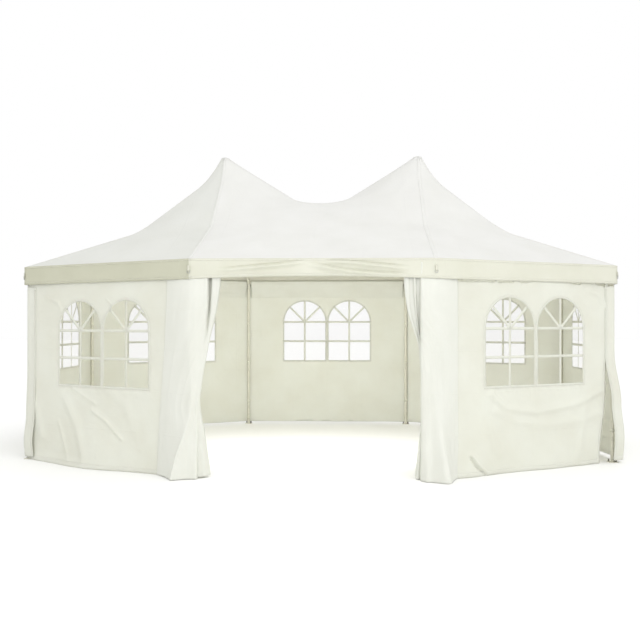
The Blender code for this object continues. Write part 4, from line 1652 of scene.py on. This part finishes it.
def make_curtain(name, corner, door_way, folds, foot, tent, cloth):
    """A door curtain hung from the rail, folded back on itself and drawn round its post."""
    index = NAMES.index(corner)
    wall_bay = index - 1 if door_way > 0 else index
    turn = CORNERS[corner]
    on_wall = turn - bay_line(wall_bay)[1] * door_way
    in_door = turn + bay_line(0)[1] * door_way
    points = [on_wall, turn, in_door] if door_way > 0 else [in_door, turn, on_wall]
    line = Line([tuple(point) for point in points], tuple(turn), POST_TURN)
    rows, count = CURTAIN_ROWS, CURTAIN_COLUMNS
    level = np.linspace(0, 1, rows)
    height = CURTAIN_FOOT + (CURTAIN_TOP - CURTAIN_FOOT) * level
    lines = fold_lines(folds, height)
    section = [line.at(reach * door_way, stand) for reach, stand in [*lines, *spare_folds(*lines[-1])]]
    plan, lengths = through_points(np.stack(section, axis=1), count)
    across = np.linspace(0, 1, count)
    rise = keyed(across, foot)[None, :] * (1 - level)[:, None] ** 2
    heights = height[:, None] + rise
    spots = np.concatenate([plan, heights[..., None]], axis=2).reshape(-1, 3)
    flat = np.stack(np.meshgrid(across * lengths.max(), height), axis=2).reshape(-1, 2)
    soft = ripples(np.column_stack([flat[:, 0] * 14, flat[:, 1] * 0.9, np.full(len(flat), index)]), 21, 2)
    tangent = np.gradient(plan, axis=1).reshape(-1, 2)
    tangent /= np.linalg.norm(tangent, axis=1)[:, None]
    size = CURTAIN_CREASE * (1 - ramp(flat[:, 1], *CREASE_STOP))
    spots[:, 0] += tangent[:, 1] * soft * size * door_way
    spots[:, 1] -= tangent[:, 0] * soft * size * door_way
    faces = grid_faces(rows, count)
    if door_way < 0:
        faces = [face[::-1] for face in faces]
    curtain = mesh_piece(name + "_cloth", spots, faces, cloth, flat)
    thicken(curtain, tent.cloth_thickness)
    finish_piece(curtain, "wall_fabric", name)
    grid = spots.reshape(rows, count, 3)
    edge = grid[:, -2]
    hem = grid[3, ::2]
    stitching = sew(name + "_stitching", [edge.tolist(), hem.tolist()], tent)


# Straps and metal fittings

# Webbing: widths of the rail straps, post ties and corner tabs, thickness of the first two and of the
# tabs, a strap's radius over its rail, and the ties' gap to the post and their heights
STRAP_WIDTH = 0.045
TIE_WIDTH = 0.030
TAB_WIDTH = 0.022
WEBBING = 0.0012
TAB_WEBBING = 0.0011
STRAP_RADIUS = 0.0172
TIE_GAP = 0.0016
TIE_HEIGHTS = (0.32, 0.85, 1.38)

# A corner tab, as (outward, up) from its place, and that place: its height and how far it stands out
TAB_SECTION = (
    (0.0, 0.055),
    (0.0012, 0.03),
    (0.004, 0.014),
    (0.0045, 0.009),
    (0.002, 0.007),
    (0.0, 0.012),
    (0.0, 0.03),
)
TAB_HEIGHT = 1.852
TAB_PROUD = 0.004

# The pull ring: its radius and that of its wire, with the steps round each
RING_RADIUS = 0.015
RING_WIRE = 0.0022
RING_STEPS = 20
WIRE_STEPS = 6

# An M8 bolt's washer and head and a peg's head, as (radius, height) from the foot up
BOLT_OUTLINE = ((0.0085, -0.001), (0.0085, 0.0012), (0.0066, 0.0012), (0.0066, 0.0058), (0.0052, 0.0066))
PEG_OUTLINE = ((0.011, 0.0), (0.011, 0.003), (0.0045, 0.003), (0.0045, 0.016), (0.010, 0.017), (0.009, 0.022))

# Bolts: how far along the rail from its post and how far towards the room. Pegs: places on the plate.
BOLT_ALONG = 0.065
BOLT_INWARD = 0.0185
PEG_PLACES = ((-0.030, 0.030), (0.030, -0.030), (0.030, 0.030))


def ribbon_mesh(name, section, width, thickness):
    """A flat strap of one width whose edge follows a line in the YZ plane, as a solid object."""
    verts, faces = [], []
    for side in (-width / 2, width / 2):
        verts.extend((side, y, z) for y, z in section)
    count = len(section)
    for spot in range(count - 1):
        faces.append((spot, spot + 1, count + spot + 1, count + spot))
    return thicken(mesh_piece(name, verts, faces, None), thickness)


def rail_strap():
    """Loop that hangs a wall from its eave rail, centred on the rail."""
    wall_side = POST_INSET - WALL_INSET - WEBBING
    over = round_points(STRAP_RADIUS, 0, math.pi, 9)
    section = [(wall_side, -0.085), (wall_side, -0.03), *over, (-0.010, -0.03), (wall_side - 0.002, -0.070)]
    return ribbon_mesh("strap", section, STRAP_WIDTH, WEBBING)


def post_tie():
    """Hook-and-loop strap closed round a post."""
    ring = round_points(POST_RADIUS + TIE_GAP, 0, 2 * math.pi, 21)
    tie = ribbon_mesh("tie", ring, TIE_WIDTH, WEBBING)
    tie.data.transform(Matrix.Rotation(math.pi / 2, 4, "Y"))
    return tie


def turned_solid(name, profile, sides):
    """A round solid from its outline: (radius, height) from the foot up, on the Z axis."""
    verts = []
    for radius, height in profile:
        for side in range(sides):
            turn = 2 * math.pi * side / sides
            verts.append((radius * math.cos(turn), radius * math.sin(turn), height))
    faces = grid_faces(len(profile), sides, closed=True)
    faces.append(tuple(reversed(range(sides))))
    faces.append(tuple(range(len(verts) - sides, len(verts))))
    made = mesh_piece(name, verts, faces, None)
    made.data.polygons.foreach_set("use_smooth", [False] * len(faces))
    return made


def hex_bolt():
    """Head and washer of an M8 bolt, standing on the tube."""
    return turned_solid("bolt", BOLT_OUTLINE, 6)


def ground_peg():
    """Head of a steel peg driven through a foot plate."""
    return turned_solid("peg", PEG_OUTLINE, 10)


def pull_ring():
    """Ring for a guy line at a valance corner, lying against the cloth."""
    verts = []
    for turn in np.linspace(0, 2 * math.pi, RING_STEPS, endpoint=False):
        for side in np.linspace(0, 2 * math.pi, WIRE_STEPS, endpoint=False):
            radius = RING_RADIUS + RING_WIRE * math.cos(side)
            verts.append((radius * math.cos(turn), RING_WIRE * math.sin(side), radius * math.sin(turn)))
    faces = grid_faces(RING_STEPS + 1, WIRE_STEPS, closed=True)
    faces = [tuple(corner % len(verts) for corner in face) for face in faces]
    return mesh_piece("ring", verts, faces, None)


def ring_loop():
    """Short webbing tab that holds a pull ring to the valance corner."""
    return ribbon_mesh("tab", TAB_SECTION, TAB_WIDTH, TAB_WEBBING)


def facing(direction):
    """Euler angles that turn +Z to a direction."""
    return tuple(Vector(direction).to_track_quat("Z", "Y").to_euler())


def make_straps():
    """Straps over the rails and ties round the posts, tabs at the corners, and the rings they hold."""
    places, turns = [], []
    for name, reaches in STRAPS.items():
        start, along, outward = bay_line(BAYS.index(name))
        for reach in reaches:
            spot = start + along * (BAY / 2 + reach) - outward * POST_INSET
            places.append((*spot, RAIL_HEIGHT))
            turns.append((0, 0, math.atan2(along.y, along.x) + math.pi))
    place_fittings("rail_straps", rail_strap(), places, turns, "webbing", "wall_fabric")
    places, turns = [], []
    for corner in NAMES:
        foot = post_centre(corner)
        for height in TIE_HEIGHTS:
            places.append((*foot, height))
            turns.append((0, 0, 0))
    place_fittings("post_ties", post_tie(), places, turns, "webbing", "wall_fabric")
    places, turns = [], []
    for corner in NAMES:
        before, after = bay_line(NAMES.index(corner) - 1)[2], bay_line(NAMES.index(corner))[2]
        out = (before + after).normalized()
        places.append((*(CORNERS[corner] + out * TAB_PROUD), TAB_HEIGHT))
        turns.append((0, 0, math.atan2(out.y, out.x) - math.pi / 2))
    place_fittings("corner_tabs", ring_loop(), places, turns, "webbing", "roof_fabric")
    place_fittings("corner_rings", pull_ring(), places, turns, "zinc", "frame_steel")


def make_bolts():
    """Bolts at the posts' sockets, and pegs through the foot plates."""
    places, turns = [], []
    for corner in NAMES:
        index = NAMES.index(corner)
        foot = post_centre(corner)
        for bay, other in ((index - 1, NAMES[index - 1]), (index, NAMES[(index + 1) % SIDES])):
            if BAYS[bay] not in STRAPS:
                continue
            inward = -bay_line(bay)[2]
            towards = (post_centre(other) - foot).normalized()
            spot = foot + towards * BOLT_ALONG + inward * BOLT_INWARD
            places.append((*spot, RAIL_HEIGHT))
            turns.append(facing((*inward, 0)))
    place_fittings("socket_bolts", hex_bolt(), places, turns, "zinc", "frame_steel")
    places, turns = [], []
    for corner in NAMES:
        foot = post_centre(corner)
        for x, y in PEG_PLACES:
            places.append((foot.x + x, foot.y + y, FOOT_PLATE))
            turns.append((0, 0, 0))
    place_fittings("foot_pegs", ground_peg(), places, turns, "peg", "frame_steel")


# Settings


class TentSettings(bpy.types.PropertyGroup):
    """Sizes of the cloth parts."""

    roof_cells: IntProperty(
        name="Roof Cells", description="Cells along each side of a roof panel", default=66, min=11
    )
    roof_pucker: FloatProperty(
        name="Roof Creases", description="Depth of the roof's tension creases", default=0.012, unit="LENGTH"
    )
    seam_width: FloatProperty(
        name="Seam Width", description="Width of the roof's felled seams", default=0.034, unit="LENGTH"
    )
    cloth_thickness: FloatProperty(
        name="Cloth Thickness", description="Thickness of wall and roof cloth", default=0.0012, unit="LENGTH"
    )
    hem_width: FloatProperty(
        name="Hem Width", description="Height of the hem at a wall's foot", default=0.040, unit="LENGTH"
    )
    tape_width: FloatProperty(
        name="Window Tape", description="Width of the tape round a window", default=0.024, unit="LENGTH"
    )
    bar_width: FloatProperty(
        name="Bar Width", description="Width of a window bar", default=0.026, unit="LENGTH"
    )
    stitch_spacing: FloatProperty(
        name="Stitch Spacing",
        description="Distance between stitches, coarser than real ones so that they show",
        default=0.009,
        unit="LENGTH",
    )
    thread_radius: FloatProperty(
        name="Thread Radius", description="Radius of the sewing thread", default=0.0007, unit="LENGTH"
    )


class ColourSettings(bpy.types.PropertyGroup):
    """Colours of the finishes."""

    roof: FloatVectorProperty(
        name="Roof", description="Roof cloth", subtype="COLOR", default=linear("#E6E6E3")
    )
    roof_deep: FloatVectorProperty(
        name="Roof Shade",
        description="Roof cloth where it is duller",
        subtype="COLOR",
        default=linear("#E2E2DE"),
    )
    wall: FloatVectorProperty(
        name="Walls", description="Wall cloth", subtype="COLOR", default=linear("#E8E9DF")
    )
    wall_deep: FloatVectorProperty(
        name="Wall Shade",
        description="Wall cloth where it is duller",
        subtype="COLOR",
        default=linear("#E3E3D7"),
    )
    # The valance's colour is darker than the walls' as painted shade
    valance: FloatVectorProperty(
        name="Valance", description="Valance cloth", subtype="COLOR", default=linear("#DEDED0")
    )
    curtain: FloatVectorProperty(
        name="Curtains", description="Curtain cloth", subtype="COLOR", default=linear("#EBECE4")
    )
    film: FloatVectorProperty(
        name="Window Film", description="Clear film", subtype="COLOR", default=linear("#8C8870")
    )
    steel: FloatVectorProperty(
        name="Frame", description="Powder coat of the tubes", subtype="COLOR", default=linear("#D4D2C2")
    )
    floor: FloatVectorProperty(
        name="Floor", description="Studio floor", subtype="COLOR", default=linear("#F8F8F7")
    )


class StageSettings(bpy.types.PropertyGroup):
    """Camera and light."""

    lens: FloatProperty(
        name="Lens", description="Focal length on a 36 mm sensor, in millimetres", default=48.93
    )
    camera_place: FloatVectorProperty(
        name="Camera", description="Where the camera stands", subtype="XYZ", default=(0.3698, -9.9024, 1.391)
    )
    camera_yaw: FloatProperty(
        name="Yaw", description="Turn of the camera to the left", subtype="ANGLE", default=0.0386
    )
    camera_pitch: FloatProperty(
        name="Pitch", description="Upward tilt of the camera", subtype="ANGLE", default=0.0037
    )
    sky_strength: FloatProperty(name="Sky", description="Strength of the even light all round", default=1.0)
    key_power: FloatProperty(
        name="Key", description="Power of the front softbox", default=220.0, unit="POWER"
    )
    fill_power: FloatProperty(
        name="Fill", description="Power of the light inside", default=52.0, unit="POWER"
    )
    floor_power: FloatProperty(
        name="Floor Fill", description="Power of the light on the floor inside", default=14.0, unit="POWER"
    )
    overhead_strength: FloatProperty(
        name="Overhead", description="Strength of the light from above", default=0.5
    )


# Operators

# Outer cloths of roof and valance, the valance darker as painted shade, the same two darker again as painted
# shade on the left bays, and the coated inner side, its tan partly painted shade
CANOPY_CLOTHS = (
    "roof cloth, coated polyester",
    "valance cloth, heavy coated polyester",
    "roof cloth, duller length",
    "valance cloth, duller length",
    "roof cloth, coated side",
)


class MARQUEE_OT_finishes(bpy.types.Operator):
    """Make the materials and node trees, and paint the steel frame"""

    bl_idname = "marquee.finishes"
    bl_label = "Finishes and Frame"

    def execute(self, context):
        colour = context.scene.marquee_colours
        coated_cloth("roof cloth, coated polyester", colour.roof, colour.roof_deep, 0.12, 0.25, 0.55)
        # Darker copy of the roof cloth: painted shade on the left bays
        coated_cloth("roof cloth, duller length", linear("#DFE0DB"), linear("#DBDCD6"), 0.12, 0.25, 0.55)
        # The coated inner side, darkened to a tan that is partly painted shade of the roof's inside
        coated_cloth("roof cloth, coated side", linear("#D8D6C8"), linear("#D1CFC0"), 0.12, 0.2, 0.5)
        coated_cloth("wall cloth, coated polyester", colour.wall, colour.wall_deep, 0.22, 0.45, 0.6)
        # Valance: darker than the walls as painted shade, and lets less light through
        coated_cloth(
            "valance cloth, heavy coated polyester", colour.valance, linear("#D7D7C7"), 0.10, 0.35, 0.6
        )
        # Darker copy of the valance cloth: painted shade on the left bays
        coated_cloth("valance cloth, duller length", linear("#C9C9B5"), linear("#C3C3AE"), 0.10, 0.35, 0.6)
        coated_cloth("curtain cloth, coated polyester", colour.curtain, linear("#E7E8DF"), 0.20, 0.15, 0.6)
        coated_cloth("webbing", colour.wall_deep, linear("#D8D6C2"), 0.1, 0.2, 0.7)
        clear_film("window film, calendered PVC", colour.film, 0.04)
        steel = coated_steel(
            "frame tube, powder-coated steel", colour.steel, linear("#C2C0B0"), 0.0, 0.42, 0.003
        )
        coated_steel("zinc", linear("#B9BBB8"), linear("#8C8D88"), 1.0, 0.38, 0.004)
        coated_steel("peg", linear("#4A4A46"), linear("#6B5A48"), 1.0, 0.55, 0.003)
        spun_thread("sewing thread, spun polyester", linear("#F6F5EC"))
        stitch_tree()
        fitting_tree()
        for name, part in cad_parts.items():
            if name.startswith(("post_", "rail_", "rafter_", "peak_hub_", "ridge_link")):
                for slot in part.material_slots:
                    slot.material = steel
        return {"FINISHED"}


class MARQUEE_OT_roof(bpy.types.Operator):
    """Stretch the roof and valance over the frame, with its seams"""

    bl_idname = "marquee.roof"
    bl_label = "Roof"

    def execute(self, context):
        tent = context.scene.marquee_tent
        finishes = [bpy.data.materials[name] for name in CANOPY_CLOTHS]
        canopy = make_canopy(tent, finishes)
        seams = make_roof_seams(tent, RoofSurface(canopy), finishes)
        # The inner side takes the tan finish, partly painted shade
        thicken(canopy, tent.cloth_thickness, -1, len(CANOPY_CLOTHS) - 1)
        finish_piece(canopy, "roof_fabric", "canopy")
        return {"FINISHED"}


class MARQUEE_OT_walls(bpy.types.Operator):
    """Hang the seven walls with their windows"""

    bl_idname = "marquee.walls"
    bl_label = "Walls and Windows"

    def execute(self, context):
        tent = context.scene.marquee_tent
        cloth = bpy.data.materials["wall cloth, coated polyester"]
        film_finish = bpy.data.materials["window film, calendered PVC"]
        for name in BAYS[1:]:
            wall = Wall(name)
            sheet, pieces = make_wall(wall, tent, cloth)
            pieces += make_window(wall, tent, film_finish, cloth)
            if not wall.drop:
                pieces.append(make_sleeve(wall, tent, cloth))
            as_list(pieces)
        return {"FINISHED"}


class MARQUEE_OT_curtains(bpy.types.Operator):
    """Hang the two door curtains, drawn back round their posts"""

    bl_idname = "marquee.curtains"
    bl_label = "Door Curtains"

    def execute(self, context):
        tent = context.scene.marquee_tent
        cloth = bpy.data.materials["curtain cloth, coated polyester"]
        make_curtain("curtain_left", "front_left", 1, LEFT_FOLDS, LEFT_FOOT, tent, cloth)
        make_curtain("curtain_right", "front_right", -1, RIGHT_FOLDS, RIGHT_FOOT, tent, cloth)
        return {"FINISHED"}


class MARQUEE_OT_fittings(bpy.types.Operator):
    """Add the straps, rings, bolts and pegs"""

    bl_idname = "marquee.fittings"
    bl_label = "Straps and Fittings"

    def execute(self, context):
        make_straps()
        make_bolts()
        return {"FINISHED"}


def softbox(name, power, size, place, target):
    """Rectangular soft light that the camera doesn't see, turned to a target."""
    lamp = bpy.data.lights.new(name, "AREA")
    lamp.energy = power
    lamp.shape = "RECTANGLE"
    lamp.size, lamp.size_y = size
    made = bpy.data.objects.new(name, lamp)
    made.location = place
    made.rotation_euler = (Vector(target) - Vector(place)).to_track_quat("-Z", "Y").to_euler()
    made.visible_camera = False
    bpy.context.scene.collection.objects.link(made)
    return made


class MARQUEE_OT_stage(bpy.types.Operator):
    """Set the floor, the soft light and the camera"""

    bl_idname = "marquee.stage"
    bl_label = "Stage"

    def execute(self, context):
        stage = context.scene.marquee_stage
        floor_finish = stage_floor("studio floor, matt paint", context.scene.marquee_colours.floor)
        half = 60.0
        corners = [(-half, -half, 0), (half, -half, 0), (half, half, 0), (-half, half, 0)]
        floor = mesh_piece("studio_floor", corners, [(0, 1, 2, 3)], floor_finish)
        floor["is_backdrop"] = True

        world = bpy.data.worlds.new("studio")
        world.use_nodes = True
        light = world.node_tree.nodes["Background"]
        light.inputs["Color"].default_value = (1, 1, 1, 1)
        light.inputs["Strength"].default_value = stage.sky_strength
        context.scene.world = world

        softbox("key softbox", stage.key_power, (6.0, 4.0), (1.2, -11.0, 5.0), (0, 0, 1.2))
        softbox("inside fill", stage.fill_power, (4.2, 1.0), (-0.2, -0.8, 1.75), (-0.2, 1.0, 0.8))
        floor_light = softbox("floor fill", stage.floor_power, (1.8, 1.2), (0.0, -1.1, 1.6), (0, -1.1, 0))
        floor_light.data.spread = math.radians(120)
        overhead = bpy.data.lights.new("overhead", "SUN")
        overhead.energy = stage.overhead_strength
        overhead.angle = math.radians(40)
        top = bpy.data.objects.new("overhead", overhead)
        top.rotation_euler = (math.radians(38), 0, math.radians(50))
        context.scene.collection.objects.link(top)

        lens = bpy.data.cameras.new("camera")
        lens.lens = stage.lens
        lens.sensor_width = 36
        camera = bpy.data.objects.new("camera", lens)
        camera.location = stage.camera_place
        camera.rotation_euler = (math.pi / 2 + stage.camera_pitch, 0, stage.camera_yaw)
        context.scene.collection.objects.link(camera)
        context.scene.camera = camera
        context.scene.view_settings.view_transform = "Standard"
        return {"FINISHED"}


OPERATORS = (
    MARQUEE_OT_finishes,
    MARQUEE_OT_roof,
    MARQUEE_OT_walls,
    MARQUEE_OT_curtains,
    MARQUEE_OT_fittings,
    MARQUEE_OT_stage,
)
SETTINGS = {
    "marquee_tent": TentSettings,
    "marquee_colours": ColourSettings,
    "marquee_stage": StageSettings,
}


class MARQUEE_PT_panel(bpy.types.Panel):
    """The tent's pieces and their settings"""

    bl_idname = "MARQUEE_PT_panel"
    bl_label = "Marquee Tent"
    bl_space_type = "VIEW_3D"
    bl_region_type = "UI"
    bl_category = "Marquee"

    def draw(self, context):
        for name, kind in SETTINGS.items():
            box = self.layout.box()
            for setting in kind.__annotations__:
                box.prop(getattr(context.scene, name), setting)
        for operator in OPERATORS:
            self.layout.operator(operator.bl_idname)


def register():
    for kind in (*SETTINGS.values(), *OPERATORS, MARQUEE_PT_panel):
        bpy.utils.register_class(kind)
    for name, kind in SETTINGS.items():
        setattr(bpy.types.Scene, name, PointerProperty(type=kind))


def unregister():
    for name in SETTINGS:
        delattr(bpy.types.Scene, name)
    for kind in reversed((*SETTINGS.values(), *OPERATORS, MARQUEE_PT_panel)):
        bpy.utils.unregister_class(kind)


def main():
    register()
    for operator in OPERATORS:
        group, name = operator.bl_idname.split(".")
        getattr(getattr(bpy.ops, group), name)()
    boxes = {"cad": CAD_BOX, "visual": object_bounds()}
    sizes = {name: [list(corner) for corner in box] for name, box in boxes.items()}


if __name__ == "__main__":
    main()
